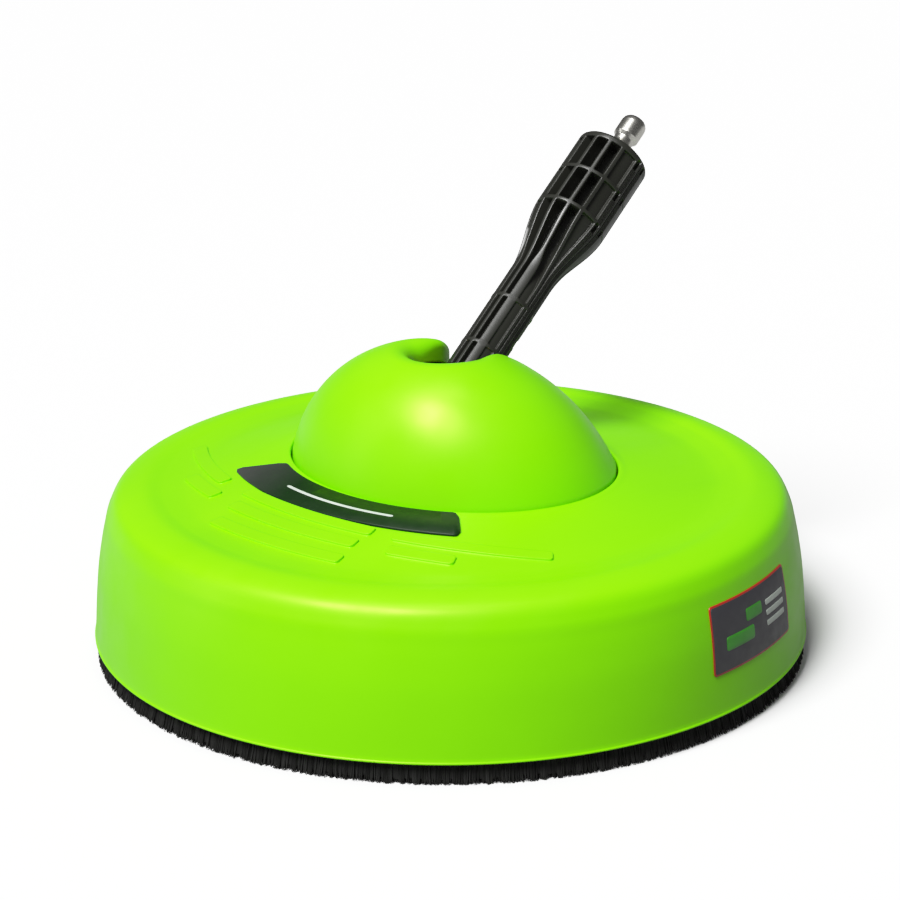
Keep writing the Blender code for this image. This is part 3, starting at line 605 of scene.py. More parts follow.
def dome_height(x, y):
    """Height of the dome's ellipsoid over a point of the plan."""
    semi_x, semi_y, semi_z = DOME_SEMI
    side = y - DOME_CENTRE_Y
    a = (DOME_LEAN / semi_y) ** 2 + 1 / semi_z ** 2
    b = 2 * side * DOME_LEAN / semi_y ** 2
    c = (x / semi_x) ** 2 + (side / semi_y) ** 2 - 1
    return DOME_CENTRE_Z + (-b + np.sqrt(np.maximum(b * b - 4 * a * c, 0.0))) / (2 * a)


def to_sphere(points):
    """Undo the dome's shear and stretch, so the ellipsoid becomes the unit sphere."""
    rise = points[..., 2] - DOME_CENTRE_Z
    y = points[..., 1] - DOME_CENTRE_Y + DOME_LEAN * rise
    return np.stack([points[..., 0] / DOME_SEMI[0], y / DOME_SEMI[1], rise / DOME_SEMI[2]], -1)


def from_sphere(units):
    rise = units[..., 2] * DOME_SEMI[2]
    y = units[..., 1] * DOME_SEMI[1] + DOME_CENTRE_Y - DOME_LEAN * rise
    return np.stack([units[..., 0] * DOME_SEMI[0], y, rise + DOME_CENTRE_Z], -1)


def arc(centre, radius, start, end, steps=24):
    angles = np.radians(np.linspace(start, end, steps))
    return [(centre[0] + radius * cos(a), centre[1] + radius * sin(a)) for a in angles]


def slot_outline():
    """Right half from the front end to the back, then its mirror: a keyhole that flares at the back."""
    right = arc((0, SLOT_FRONT_Y), SLOT_HALF_WIDTH, -90, 0)
    flare_centre = (SLOT_HALF_WIDTH + SLOT_FLARE_RADIUS, SLOT_STRAIGHT_END)
    right += arc(flare_centre, SLOT_FLARE_RADIUS, 180, 180 - SLOT_FLARE_TURN)
    x, y = right[-1]
    heading = radians(90 - SLOT_FLARE_TURN)
    centre = (x - SLOT_BACK_RADIUS * sin(heading), y + SLOT_BACK_RADIUS * cos(heading))
    right += arc(centre, SLOT_BACK_RADIUS, -SLOT_FLARE_TURN, 0)[1:]
    right += arc((centre[0], SLOT_BACK_Y - SLOT_BACK_RADIUS), SLOT_BACK_RADIUS, 0, 90)
    left = [(-x, y) for x, y in right[::-1]]
    return np.array(right + left[:-1])


def slot_columns(azimuth):
    """Outline points and outward plan normals along each direction from inside the slot."""
    dense = subdivided(slot_outline(), lambda length: 8)
    angle = np.arctan2(dense[:, 1] - SLOT_HUB_Y, dense[:, 0])
    order = np.argsort(angle)
    angle, dense = angle[order], dense[order]
    x = np.interp(azimuth, angle, dense[:, 0], period=2 * pi)
    y = np.interp(azimuth, angle, dense[:, 1], period=2 * pi)
    for _ in range(6):
        x = (np.roll(x, 1) + 2 * x + np.roll(x, -1)) / 4
        y = (np.roll(y, 1) + 2 * y + np.roll(y, -1)) / 4
    tangent = np.stack([np.roll(x, -1) - np.roll(x, 1), np.roll(y, -1) - np.roll(y, 1)], -1)
    tangent /= np.linalg.norm(tangent, axis=1)[:, None]
    return np.stack([x, y], -1), np.stack([tangent[:, 1], -tangent[:, 0]], -1)


def dome_piece():
    azimuth = np.linspace(-pi, pi, DOME_COLUMNS, endpoint=False)
    wall, outward = slot_columns(azimuth)
    curl = CURL_FRONT - (CURL_FRONT - CURL_MIDDLE) * smooth_step((wall[:, 1] + 4.0) / 18.0)
    curl -= (CURL_MIDDLE - CURL_BACK) * smooth_step((wall[:, 1] - 30.0) / 18.0)
    start = wall + outward * curl[:, None]
    top = dome_height(start[:, 0], start[:, 1])
    edge = np.minimum(dome_height(wall[:, 0], wall[:, 1]), top + 2.5)
    slope = (edge - top) / curl
    rolled_from = np.column_stack([start, top])
    rolled_to = np.column_stack([wall, edge - curl])
    inward = np.column_stack([-outward, slope])
    inward /= np.linalg.norm(inward, axis=1)[:, None]
    handle = 0.55 * curl[:, None]
    control_a = rolled_from + inward * handle
    control_b = rolled_to + (0, 0, 1) * handle
    bottom = edge - SLOT_LIP_DEPTH
    rows = [np.column_stack([wall, bottom + (edge - curl - bottom) * share]) for share in (0, 0.12, 0.5)]
    for share in np.linspace(1, 0, 10):
        keep = 1 - share
        rows.append(keep ** 3 * rolled_from + 3 * keep ** 2 * share * control_a
                    + 3 * keep * share ** 2 * control_b + share ** 3 * rolled_to)
    rise = (DOME_BASE_Z - DOME_CENTRE_Z) / DOME_SEMI[2]
    unit_base = polar(sqrt(1 - rise * rise), azimuth, rise)
    unit_top = to_sphere(rolled_from)
    angle = np.arccos(np.clip((unit_top * unit_base).sum(1), -1, 1))[:, None]
    for share in np.linspace(0, 1, 60)[1:]:
        mix = (np.sin((1 - share) * angle) * unit_top + np.sin(share * angle) * unit_base) / np.sin(angle)
        rows.append(from_sphere(mix))
    base = rows[-1]
    out = base[:, :2] - (0, 2.5)
    out /= np.linalg.norm(out, axis=1)[:, None]
    for offset, z in FLANGE:
        rows.append(np.column_stack([base[:, :2] + out * offset, np.full(DOME_COLUMNS, z)]))
    obj = make_piece("dome_body", [sheet(rows)], "deck", "green_plastic", ["dome_cover"], sharp=60)
    solid = obj.modifiers.new("wall", "SOLIDIFY")
    solid.thickness = DOME_WALL * MM
    solid.offset = -1
    if obj.data.polygons[len(obj.data.polygons) // 2].normal.z < 0:
        obj.data.flip_normals()
    apply_modifiers(obj)


# ---- badge and label

BADGE_AZIMUTHS = (-142.0, -48.0)
BADGE_INSET = 3.0
BADGE_END_LEAN = 3.5
BADGE_ARC_CENTRE_Y = 41.0
BADGE_ARC_RADIUS = 118.0
BADGE_ARC_TURN = radians(-4.0)
BADGE_MEAN_RADIUS = 88.0


def badge_edges(azimuth):
    inner = opening_radius(azimuth) + BADGE_INSET
    s = BADGE_ARC_CENTRE_Y * np.sin(azimuth + BADGE_ARC_TURN)
    outer = s + np.sqrt(s * s + BADGE_ARC_RADIUS ** 2 - BADGE_ARC_CENTRE_Y ** 2)
    return inner, outer


def corner_trim(share, length, corner):
    """How far a rounded corner cuts into a plate's sides at a share of its length."""
    reach = min(share, 1 - share) * length
    return corner - sqrt(max(0.0, corner ** 2 - max(0.0, corner - reach) ** 2))


def badge_patch(along_range, across_range, base, lift, corner, columns=96, rounding=0.25):
    """A thin plate on the deck's cone in the badge's own (along, across) coordinates."""
    low, high = np.radians(BADGE_AZIMUTHS)
    start, end = along_range
    length = (end - start) * (high - low) * BADGE_MEAN_RADIUS
    loops = []
    for share in np.linspace(0, 1, columns):
        along = start + (end - start) * share
        trim = corner_trim(share, length, corner)
        azimuth = low + (high - low) * along
        inner, outer = badge_edges(azimuth)
        near = inner + (outer - inner) * across_range[0] + trim
        far = inner + (outer - inner) * across_range[1] - trim
        outline = [(near, base), (near, lift - rounding), (near + rounding, lift), ((near + far) / 2, lift),
                   (far - rounding, lift), (far, lift - rounding), (far, base)]
        radius, rise = np.array(outline).T
        lean = radians(BADGE_END_LEAN) * (1 - along) * (outer - radius) / (outer - inner)
        loops.append(on_cone(radius * np.cos(azimuth + lean), radius * np.sin(azimuth + lean), rise))
    return capped(loops)


def badge_pieces():
    plate = badge_patch((0, 1), (0, 1), 0.1, 1.0, 3.2)
    make_piece("badge", [plate], "deck", "charcoal_film", ["badge_plate"], sharp=50)
    stripes = [badge_patch((0.24, 0.76), (0.46, 0.54), 0.9, 1.12, 0.4, 64, 0.05)]
    make_piece("badge_stripe", stripes, "deck", "charcoal_film", look=LABEL_PALE)


LABEL_AZIMUTHS = (-6.7, 16.6)
LABEL_Z = (26.6, 55.3)


def label_patch(along, across, base, lift, corner=1.5, columns=40):
    """A thin plate on the deck's side between two shares along and two across the label's field."""
    width = radians(LABEL_AZIMUTHS[1] - LABEL_AZIMUTHS[0]) * RIM_RADIUS
    height = LABEL_Z[1] - LABEL_Z[0]
    left, right = along[0] * width, along[1] * width
    loops = []
    for share in 0.5 - 0.5 * np.cos(np.linspace(0, pi, columns)):
        u = left + (right - left) * share
        trim = corner_trim(share, right - left, corner)
        near, far = across[0] * height + trim, across[1] * height - trim
        outline = [(near, base), (near, lift - 0.05), (near + 0.08, lift)]
        outline += [(near + (far - near) * step, lift) for step in (0.25, 0.5, 0.75)]
        outline += [(far - 0.08, lift), (far, lift - 0.05), (far, base)]
        azimuth = radians(LABEL_AZIMUTHS[0]) + u / RIM_RADIUS
        v, rise = np.array(outline).T
        z = LABEL_Z[0] + v
        loops.append(polar(wall_radius(z) + rise, azimuth, z))
    return capped(loops)


def label_pieces():
    edge = label_patch((0, 1), (0, 1), 0.05, 0.40)
    make_piece("label_border", [edge], "deck", "label_film", look=LABEL_RED, sharp=50)
    field = label_patch((0.013, 0.987), (0.028, 0.972), 0.3, 0.48, 1.0)
    make_piece("label", [field], "deck", "label_film", ["side_label"], sharp=50)
    blocks = [label_patch((0.14, 0.46), (0.30, 0.50), 0.4, 0.55, 1.0),
              label_patch((0.38, 0.58), (0.58, 0.76), 0.4, 0.55, 1.0)]
    make_piece("label_block", blocks, "deck", "label_film", look=LABEL_GREEN)
    bars = [label_patch((0.64, 0.92), (v, v + 0.08), 0.4, 0.55, 0.6) for v in (0.34, 0.49, 0.64)]
    make_piece("label_bars", bars, "deck", "label_film", look=LABEL_PALE)


# ---- brush

BRISTLE_COUNT = 11000
BRISTLE_ROWS = 5
BRISTLE_INNER_RADIUS = 143.2
BRISTLE_ROW_STEP = 0.75
BRISTLE_ROOT_Z = 12.6
BRISTLE_REACH = 149.6  # largest radius of a tip
BRISTLE_TAPER = ((0.0, 0.42), (0.5, 0.42), (0.85, 0.34), (1.0, 0.16))  # (share of length, radius)
# (radius, height, whether the surface is rough there)
BRISTLE_CORE = ((142.9, 18.0, 0), (142.9, 11.5, 0), (143.6, 4.0, 0), (144.3, 2.4, 1), (148.2, 2.3, 1),
                (148.0, 4.0, 0), (146.6, 9.5, 0), (146.2, 11.5, 0), (146.2, 18.0, 0))


def bristle_piece():
    """Leaning tapered strands in packed rows round a rough core."""
    rng = np.random.default_rng(7)
    count = BRISTLE_COUNT
    azimuth = np.sort(rng.uniform(0, 2 * pi, count))
    row = rng.integers(0, BRISTLE_ROWS, count)
    root = BRISTLE_INNER_RADIUS + row * BRISTLE_ROW_STEP + rng.normal(0, 0.12, count)
    tuft = np.sin(azimuth * 97) * 0.25 + np.sin(azimuth * 211 + 1.3) * 0.2
    tip_radius = np.minimum(root + 1.3 + row * 0.45 + rng.normal(0, 0.35, count), BRISTLE_REACH)
    tip_z = np.clip(0.35 + tuft * 0.6 + rng.gamma(1.1, 0.36, count), 0.02, 3.2)
    sway = rng.normal(0, 0.0022, count) + tuft * 0.0022
    sides = 4
    strands = np.zeros((count, len(BRISTLE_TAPER), sides, 3))
    for level, (share, thickness) in enumerate(BRISTLE_TAPER):
        angle = azimuth + sway * share ** 2
        radius = root + (tip_radius - root) * share ** 1.4
        z = BRISTLE_ROOT_Z + (tip_z - BRISTLE_ROOT_Z) * share
        for side in range(sides):
            turn = 2 * pi * side / sides + azimuth * 31
            local_r = radius + thickness * np.cos(turn)
            local_a = angle + thickness * np.sin(turn) / radius
            strands[:, level, side] = polar(local_r, local_a, z)
    index = np.arange(strands.size // 3).reshape(strands.shape[:3])
    after = np.roll(index, -1, axis=2)
    quads = np.stack([index[:, :-1], after[:, :-1], after[:, 1:], index[:, 1:]], -1).reshape(-1, 4)
    faces = quads.tolist() + index[:, 0].tolist() + index[:, -1].tolist()
    columns = 720
    wobble = rng.uniform(-0.6, 0.6, columns)
    angles = np.linspace(0, 2 * pi, columns, endpoint=False)
    core = []
    for radius, z, rough in BRISTLE_CORE:
        core.append(polar(radius, angles, z + rough * wobble))
    shapes = [(strands.reshape(-1, 3), faces), sheet(core, join_rows=True)]
    make_piece("bristles", shapes, "deck", "bristle_nylon", ["bristle_skirt"])


def carrier_piece():
    low, high = level_range("brush_carrier")
    outline = [(147.3, low), (147.3, high), (141.1, high), (141.1, low), (142.6, low), (142.6, 18.5),
               (146.3, 18.5), (146.3, low)]
    carrier = turned(outline, 0.4, 360)
    make_piece("brush_holder", [carrier], "deck", "black_plastic", ["brush_carrier"], UNDER)


# ---- lance

def lance_radius(t):
    low, high = LANCE_TAPER
    share = smooth_step((t - low) / (high - low))
    return LANCE_THIN_RADIUS + (LANCE_THICK_RADIUS - LANCE_THIN_RADIUS) * share


def thickness_share(t):
    """Steers the ribs: 0 on the thin part, 1 on the thick part."""
    return smooth_step((t - 60.0) / 40.0)


def rib_edges(t):
    """Angles from the top line to the edges of each pocket on one side: two pockets, then a side panel."""
    share = thickness_share(t)
    radius = lance_radius(t)
    first = degrees(RIB_HALF / radius)
    middle = 28.5 - 4.0 * share
    middle_half = 9.5 - 8.0 * smooth_step((t - 69.0) / 12.0)
    last = 69.0 - 21.5 * share
    last_half = 1.5
    pockets = [(first, middle - middle_half), (middle + middle_half, last - last_half)]
    return pockets + [(last + last_half, SIDE_START)]


def pocket_depths(t, lower):
    """Depth of the two pockets and of the side panel at a station."""
    share = thickness_share(t)
    deep = 2.9 + 4.3 * share
    fading = 0.9 + (deep - 0.9) * smooth_step((t - 58.0) / 14.0)
    return deep, fading, 0.2 if lower else 0.5 + 1.1 * share


EDGE_STEPS = np.array([0.0, 0.17, 0.32, 0.43, 0.5, 0.65, 1.05])
NOTCH_LENGTH = 4.0  # where the shells' pads interlock before each ring
CELL_ENDS = [LANCE_START - 2.0]
for ring_station in LANCE_RINGS:
    CELL_ENDS += [ring_station - LANCE_RING_WIDTH / 2, ring_station + LANCE_RING_WIDTH / 2]
CELL_ENDS.append(LANCE_RIM - 0.6)
CELLS = list(zip(CELL_ENDS[0::2], CELL_ENDS[1::2]))


def lance_stations():
    """Stations along the shell, dense where a pocket begins or ends."""
    stations = {LANCE_START}
    for low, high in CELLS:
        stations |= {*(low + EDGE_STEPS), *(high - EDGE_STEPS)}
        stations |= {high - NOTCH_LENGTH, high - NOTCH_LENGTH - 0.3, high - 2.2, high - 2.5}
        low, high = low + EDGE_STEPS[-1], high - NOTCH_LENGTH - 0.6
        steps = max(1, int((high - low) / 1.6))
        stations |= {low + (high - low) * i / steps for i in range(steps)}
    return np.array(sorted(t for t in stations if t >= LANCE_START))


def cell_distance(t):
    """Distance to the nearest end of the pocket cell that holds t, or a negative value on a ring."""
    return max(min(t - low, high - t) for low, high in CELLS)


def carved(reach, distance, depth, corner=1.0):
    """Depth at a point, from its distances to the pocket's side and to its end."""
    if distance <= 0 or reach <= 0:
        return 0.0
    near = min(reach, distance)
    if reach < corner and distance < corner:
        near = max(0.0, corner - hypot(corner - reach, corner - distance))
    bend = min(LANCE_EDGE_ROUND, depth)
    turned_edge = bend * (1 - sqrt(1 - min(near / LANCE_EDGE_ROUND, 1.0) ** 2))
    top, foot = POCKET_WALL
    return turned_edge + (depth - bend) * float(smooth_step((near - top) / (foot - top)))


def lance_column_plan():
    """Columns on one side, from the top line out: (zone, place in the zone from 0 to 1 or a degree)."""
    plan = [("rib", 0.0)]
    for pocket in range(3):
        plan += [(pocket, ("low", step)) for step in EDGE_STEPS]
        plan += [(pocket, ("mid", share)) for share in (0.25, 0.5, 0.75)]
        plan += [(pocket, ("high", step)) for step in EDGE_STEPS[::-1]]
    plan += [("side", angle) for angle in np.arange(SIDE_START + 0.75, 90.01, 0.75)]
    return plan


def lance_point(zone, place, t, lower):
    """(angle, radius) of one column at one station."""
    radius = lance_radius(t)
    if zone == "rib":
        return 0.0, radius
    if zone == "side":
        return place, radius - side_relief(place, t, lower)
    low, high = rib_edges(t)[zone]
    width = radians(high - low) * radius
    squeeze = min(1.0, width / FULL_POCKET)
    kind, value = place
    if kind == "mid":
        offset = EDGE_STEPS[-1] * squeeze + value * (width - 2 * EDGE_STEPS[-1] * squeeze)
        reach = min(offset, width - offset)
    else:
        reach = value * squeeze
        offset = reach if kind == "low" else width - reach
    angle = low + degrees(offset / radius)
    return angle, radius - carved(reach / squeeze, cell_distance(t), pocket_depths(t, lower)[zone])


def side_relief(angle, t, lower):
    """Shallow grooves and interlocking pads along the joint line between the shells."""
    share = float(thickness_share(t))
    groove = 0.28 * (0.5 - 0.5 * cos(2 * pi * angle / 3.0))
    if angle > 88.2:
        return 0.35 if lower else 0.0
    to_end = min((high - t for _, high in CELLS if high >= t), default=9.0)
    length, depth, edge = (2.2, 1.4, 84.0) if lower else (NOTCH_LENGTH, 1.7, 87.5)
    notch = depth * share if -0.01 <= to_end < length + 0.01 else 0.0
    return groove + notch * float(smooth_step((edge - angle) / 0.8))


def lance_half(name, side, node):
    """One shell of the lance; side -1 is the upper one."""
    lower = side > 0
    stations = lance_stations()
    plan = lance_column_plan()
    mirrored = [(zone, place, -1) for zone, place in plan[:0:-1]]
    columns = mirrored + [(zone, place, 1) for zone, place in plan]
    rim = [(LANCE_THICK_RADIUS - LANCE_RIM_ROUND * (1 - cos(a)), LANCE_END - LANCE_RIM_ROUND * (1 - sin(a)))
           for a in np.radians(np.linspace(0, 90, 7))]
    inner = [(8.2, LANCE_END), (7.6, LANCE_END - 0.8), (5.4, LANCE_END - 0.8), (5.4, 130.3), (7.7, 130.3),
             (7.7, 121.7), (4.8, 121.7), (4.8, 25.3), (6.7, 25.3), (6.7, LANCE_START)]
    loops = []
    for zone, place, sign in columns:
        loop = [(*lance_point(zone, place, t, lower), t) for t in stations]
        loop += [(loop[-1][0], radius, t) for radius, t in rim + inner]
        angle, radius, t = np.array(loop, float).T
        across, out = sign * np.sin(np.radians(angle)), side * np.cos(np.radians(angle))
        loops.append(np.stack([radius * across, radius * out + side * SEAM_HALF, t], -1))
    shell = placed(capped(loops), LANCE_PLACE)
    return make_piece(name, [shell], "lance", "black_plastic", [node], sharp=38)


LANCE_SCREWS = ((-5.2, 40.0, 4.3), (5.2, 40.0, 4.3), (-9.6, 110.0, 6.0), (9.6, 110.0, 6.0))
WELL_RADIUS = 2.35
WELL_TOP = 30.0  # clear of the shell's outside


def lance_pieces():
    lance_half("lance_upper", -1, "lance_shell_upper")
    lower = lance_half("lance_lower", 1, "lance_shell_lower")
    wells = []
    for x, t, seat in LANCE_SCREWS:
        well = turned(oblong(0.05, WELL_RADIUS, seat, WELL_TOP), 0.01, 32)
        wells.append(placed(well, LANCE_PLACE @ shift(x, 0, t) @ spin(-90, "X")))
    cut(lower, wells)
    for index, (x, t, seat) in enumerate(LANCE_SCREWS, 1):
        place = LANCE_PLACE @ shift(x, seat + 0.05, t) @ spin(90, "X")
        screw_piece(f"lance_screw_{index}", place, "lance", 2.1, 1.8, 6.0, 1.2)
    plug = [(7.4, 122.0), (7.4, 130.0), (5.1, 130.0), (5.1, 146.2), (4.5, 147.4), (4.5, 149.6),
            (5.75, 151.4), (5.75, 158.0), (5.4, 159.5), (4.6, 160.6), (3.6, 161.0), (2.5, 160.7),
            (2.5, 122.0)]
    shape = placed(turned(plug, 0.5, 96), LANCE_PLACE)
    make_piece("plug", [shape], "lance", "stainless", ["inlet_plug"])


# ---- fasteners and turned parts

def screw_piece(name, place, body, head, height, length, shank):
    """A pan-head screw with a cross recess, its seat at z = 0 and its shank upwards."""
    pan = ((0.55, 0.96), (0.86, 0.7), (1.0, 0.35), (1.0, 0.0))
    outline = [(0.02, -height)] + [(head * out, -height * up) for out, up in pan]
    outline += [(shank, 0.0), (shank, length), (0.02, length)]
    screw = placed(turned(outline, 0.12, 36, hollow=False), place)
    obj = make_piece(name + "_look", [screw], body, "zinc_steel", [name])
    half, reach = head * 0.11, head * 0.55
    section = oblong(-reach, reach, -half, half)
    arm = capped([[(x, y, z) for x, y in section] for z in (-height - 1, -height * 0.45)])
    for angle in (0, 90):
        cut(obj, [placed(arm, place @ spin(angle, "Z"))])


def screws_under_deck():
    for index, azimuth in enumerate(SCREW_AZIMUTHS, 1):
        x, y = on_circle(PLATE_SCREW_CIRCLE, azimuth)
        screw_piece(f"plate_screw_{index}", shift(x, y, PLATE_Z[0] - 0.3), "deck", 4.0, 2.6, 10.0, 1.4)
        x, y = on_circle(20.0, azimuth)
        screw_piece(f"swivel_screw_{index}", shift(x, y, PLATE_Z[0] - 3.6), "deck", 3.2, 2.6, 9.0, 1.6)
    for index in (1, 2, 3, 4):
        x, y, _ = sum(box(f"dome_screw_{index}"), Vector()) / 2
        screw_piece(f"dome_screw_{index}", shift(x, y, 73.7), "deck", 2.8, 2.0, 3.4, 1.0)


def splash_piece():
    """A ribbed disc that keeps the spray under the deck."""
    low, high = PLATE_Z
    shapes = [turned(oblong(9.5, 112.0, low, high), 0.6, 240)]
    for radius in (46.0, 78.0, 107.0):
        rib = ((0.0, -1.6), (1.6, -1.6), (1.8, 1.0), (-0.2, 1.0))
        shapes.append(turned([(radius + out, low + up) for out, up in rib], 0.4, 240))
    rib = ((-0.9, 1.0), (-0.7, -1.5), (-0.4, -1.8), (0.4, -1.8), (0.7, -1.5), (0.9, 1.0))
    for azimuth in range(0, 360, 30):
        rows = [[(reach, y, low + up) for y, up in rib] for reach in np.linspace(28, 107, 3)]
        shapes.append(placed(capped(rows), spin(azimuth, "Z")))
    make_piece("splash_disc", shapes, "deck", "black_plastic", ["splash_plate"], UNDER)


def swivel_pieces():
    low = PLATE_Z[0] - 0.3
    housing = [(16.4, 35.0), (16.4, low - 3), (24.5, low - 3), (24.5, low), (9.0, low), (9.0, 66.0),
               (2.2, 66.0), (2.2, 57.0), (11.0, 57.0), (11.0, 35.0)]
    make_piece("swivel_body", [turned(housing, 0.5, 120)], "deck", "aluminium", ["swivel_housing"])
    hub = [(6.0, 35.5), (8.0, 35.5), (8.0, 34.0), (13.0, 34.0), (13.0, 21.5), (2.6, 21.5), (2.6, 30.2),
           (6.0, 30.2)]
    make_piece("rotor_boss", [turned(hub, 0.6, 96)], "rotor", "brass", ["rotor_hub"])
    hexagon = [(7.0 * cos(a), 7.0 * sin(a)) for a in np.radians(np.arange(0, 360, 60))]
    outline = np.array(rounded(hexagon, 0.5, 3))
    rows = [np.column_stack([outline * scale, np.full(len(outline), z)])
            for scale, z in ((0.90, 17.2), (0.99, 17.7), (1.0, 18.0), (1.0, 21.0), (0.97, 21.2))]
    stem = turned(oblong(0.02, 2.3, 20.8, 22.9), 0.1, 32, hollow=False)
    make_piece("hub_bolt", [capped(rows), stem], "rotor", "zinc_steel", ["hub_plug"])


def spray_bar_pieces():
    for name, side in (("left", -1), ("right", 1)):
        direction = ALONG_X if side > 0 else spin(180, "Z") @ ALONG_X
        tube = turned(oblong(2.8, 4.5, 8.0, 114.0), 0.3, 64)
        arm = placed(tube, shift(0, 0, ARM_Z) @ direction)
        make_piece(f"arm_{name}", [arm], "rotor", "stainless", [f"spray_arm_{name}"])
        tilt = shift(side * NOZZLE_CIRCLE, 0, ARM_Z) @ spin(side * NOZZLE_TILT, "X")
        cup = [(3.7, -9.0), (7.6, -9.0), (8.5, -7.6), (8.5, 6.6), (7.6, 8.0), (0.02, 8.0), (0.02, 2.0),
               (3.7, 2.0)]
        holder = placed(turned(cup, 0.5, 72), tilt)
        make_piece(f"holder_{name}", [holder], "rotor", "black_plastic", [f"nozzle_holder_{name}"], UNDER)
        nozzle = [(0.7, -2.5), (3.3, -2.5), (3.3, -9.3), (4.9, -9.3), (4.9, -12.6), (3.6, -14.6),
                  (1.6, -14.6), (0.7, -13.6)]
        nut = turned(oblong(4.6, 6.2, -12.0, -9.0), 0.3, 6)
        shapes = [placed(turned(nozzle, 0.3, 64), tilt), placed(nut, tilt)]
        make_piece(f"jet_{name}", shapes, "rotor", "brass", [f"nozzle_{name}"])


def pivot_pieces():
    """Smooth versions of the pivot parts that show through the slot."""
    axis = shift(*PIVOT) @ ALONG_X
    barrel = turned(oblong(6.05, 11.2, -13.9, 13.9), 0.8, 96)
    stem = turned(oblong(4.8, 6.4, 8.0, 25.0), 0.3, 64)
    shapes = [placed(barrel, axis), placed(stem, LANCE_PLACE)]
    make_piece("knuckle", shapes, "lance", "brass", ["pivot_knuckle"])


# ---- floor, lights, camera

# How pale the floor is to the camera, in reflections and to light that bounces on to the object
FLOOR_SEEN, FLOOR_MIRRORED, FLOOR_BOUNCED = 0.93, 0.34, 0.18
WORLD_LIGHT, WORLD_MIRRORED = 0.19, 0.08
FLOOR_REACH = 9.0  # metres from the middle to each edge


def grey(level):
    return (level, level, level, 1)


def stage_set():
    mesh = bpy.data.meshes.new("floor")
    corners = oblong(-FLOOR_REACH, FLOOR_REACH, -FLOOR_REACH, FLOOR_REACH)
    mesh.from_pydata([(x, y, 0) for x, y in corners], [], [(0, 1, 2, 3)])
    floor = add_object("floor", mesh)
    material, tree, shader = start_material("floor_paper")
    rays = add(tree, "LightPath").outputs
    bounced = blend_colour(tree, rays["Is Glossy Ray"], grey(FLOOR_BOUNCED), grey(FLOOR_MIRRORED))
    seen = blend_colour(tree, rays["Is Camera Ray"], bounced, grey(FLOOR_SEEN))
    set_inputs(tree, shader, Base_Color=seen, Roughness=0.75, Specular_IOR_Level=0.1)
    behind = add(tree, "NewGeometry").outputs["Backfacing"]
    clear = add(tree, "BsdfTransparent").outputs["BSDF"]
    sides = add(tree, "MixShader")
    for socket, value in zip(sides.inputs, (behind, shader.outputs["BSDF"], clear)):
        feed(tree, socket, value)
    tree.links.new(sides.outputs["Shader"], tree.nodes["Material Output"].inputs["Surface"])
    mesh.materials.append(material)
    world = bpy.data.worlds.new("studio")
    world.use_nodes = True
    tree = world.node_tree
    mirrored = add(tree, "LightPath").outputs["Is Glossy Ray"]
    background = tree.nodes["Background"]
    background.inputs["Color"].default_value = (1, 1, 1, 1)
    feed(tree, background.inputs["Strength"], remap(tree, mirrored, WORLD_LIGHT, WORLD_MIRRORED, (0, 1)))
    bpy.context.scene.world = world


LAMP_AIM_Z = 0.08  # metres, as are all lengths from here on
LAMP_DISTANCE = 1.3


def lamp(name, kind, energy, direction, **settings):
    """A lamp that shines along a direction, placed back along it."""
    data = bpy.data.lights.new(name, kind)
    data.energy = energy
    for key, value in settings.items():
        setattr(data, key, value)
    obj = add_object(name, data)
    aim = Vector(direction).normalized()
    obj.rotation_euler = aim.to_track_quat("-Z", "Y").to_euler()
    obj.location = Vector((0, 0, LAMP_AIM_Z)) - aim * LAMP_DISTANCE
    return obj


VIEW_AZIMUTH = radians(39.0)
VIEW_ELEVATION = radians(19.3)
VIEW_DISTANCE = 1.526
VIEW_TARGET = Vector((0.0003, 0.0, 0.0857))
VIEW_LENS = 145.9
VIEW_ROLL = radians(0.40)
WHITE_LEVEL = 1.48
HIGHLIGHT_CURVE = ((0.3, 0.3), (0.6, 0.6), (0.9, 0.81), (1.2, 0.92))


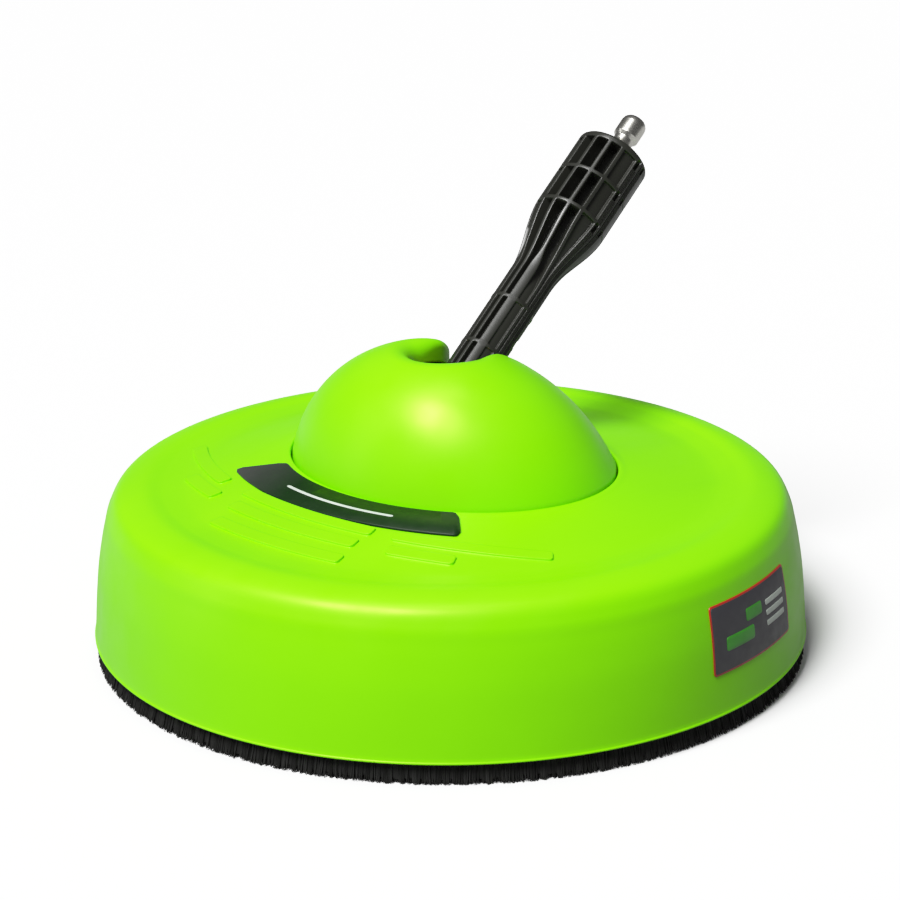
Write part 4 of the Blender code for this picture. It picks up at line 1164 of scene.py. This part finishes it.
def view_axes():
    """Right, up and back directions of the level camera."""
    sin_a, cos_a = sin(VIEW_AZIMUTH), cos(VIEW_AZIMUTH)
    sin_e, cos_e = sin(VIEW_ELEVATION), cos(VIEW_ELEVATION)
    back = Vector((sin_a * cos_e, -cos_a * cos_e, sin_e))
    up = Vector((-sin_a * sin_e, cos_a * sin_e, cos_e))
    return Vector((cos_a, sin_a, 0)), up, back


def camera():
    right, up, back = view_axes()
    data = bpy.data.cameras.new("camera")
    data.lens = VIEW_LENS
    data.sensor_width = 36.0
    data.clip_end = 50.0
    turn = Matrix.Rotation(VIEW_ROLL, 3, -back)
    matrix = Matrix((turn @ right, turn @ up, back)).transposed().to_4x4()
    matrix.translation = VIEW_TARGET + back * VIEW_DISTANCE
    obj = add_object("camera", data)
    obj.matrix_world = matrix
    bpy.context.scene.camera = obj


def lights():
    right, _, back = view_axes()
    flat_back = Vector((back.x, back.y, 0)).normalized()
    key = right * 0.39 - flat_back * 0.47 - Vector((0, 0, 0.95))
    lamp("key", "SUN", 5.3, key, angle=radians(28))
    side = right - flat_back * 0.15 - Vector((0, 0, 0.30))
    overhead = right * 0.20 - flat_back * 0.10 - Vector((0, 0, 0.95))
    strips = (("side strip", 1.6, side, 0.25), ("overhead strip", 4.5, overhead, 0.30))
    for name, power, aim, width in strips:
        strip = lamp(name, "AREA", power, aim, shape="RECTANGLE", size=width, size_y=0.9)
        strip.visible_diffuse = False


def soft_highlights():
    """Plain colours, with a soft shoulder so that bright green keeps its shading."""
    settings = bpy.context.scene.view_settings
    settings.view_transform = "Standard"
    settings.use_curve_mapping = True
    mapping = settings.curve_mapping
    mapping.white_level = (WHITE_LEVEL,) * 3
    curve = mapping.curves[3]
    for level, shown in HIGHLIGHT_CURVE:
        curve.points.new(level / WHITE_LEVEL, shown)
    mapping.update()


# ---- assembly

dress_cad_nodes()
deck_piece()
dome_piece()
badge_pieces()
label_pieces()
bristle_piece()
carrier_piece()
lance_pieces()
splash_piece()
swivel_pieces()
spray_bar_pieces()
pivot_pieces()
screws_under_deck()
stage_set()
lights()
camera()
soft_highlights()
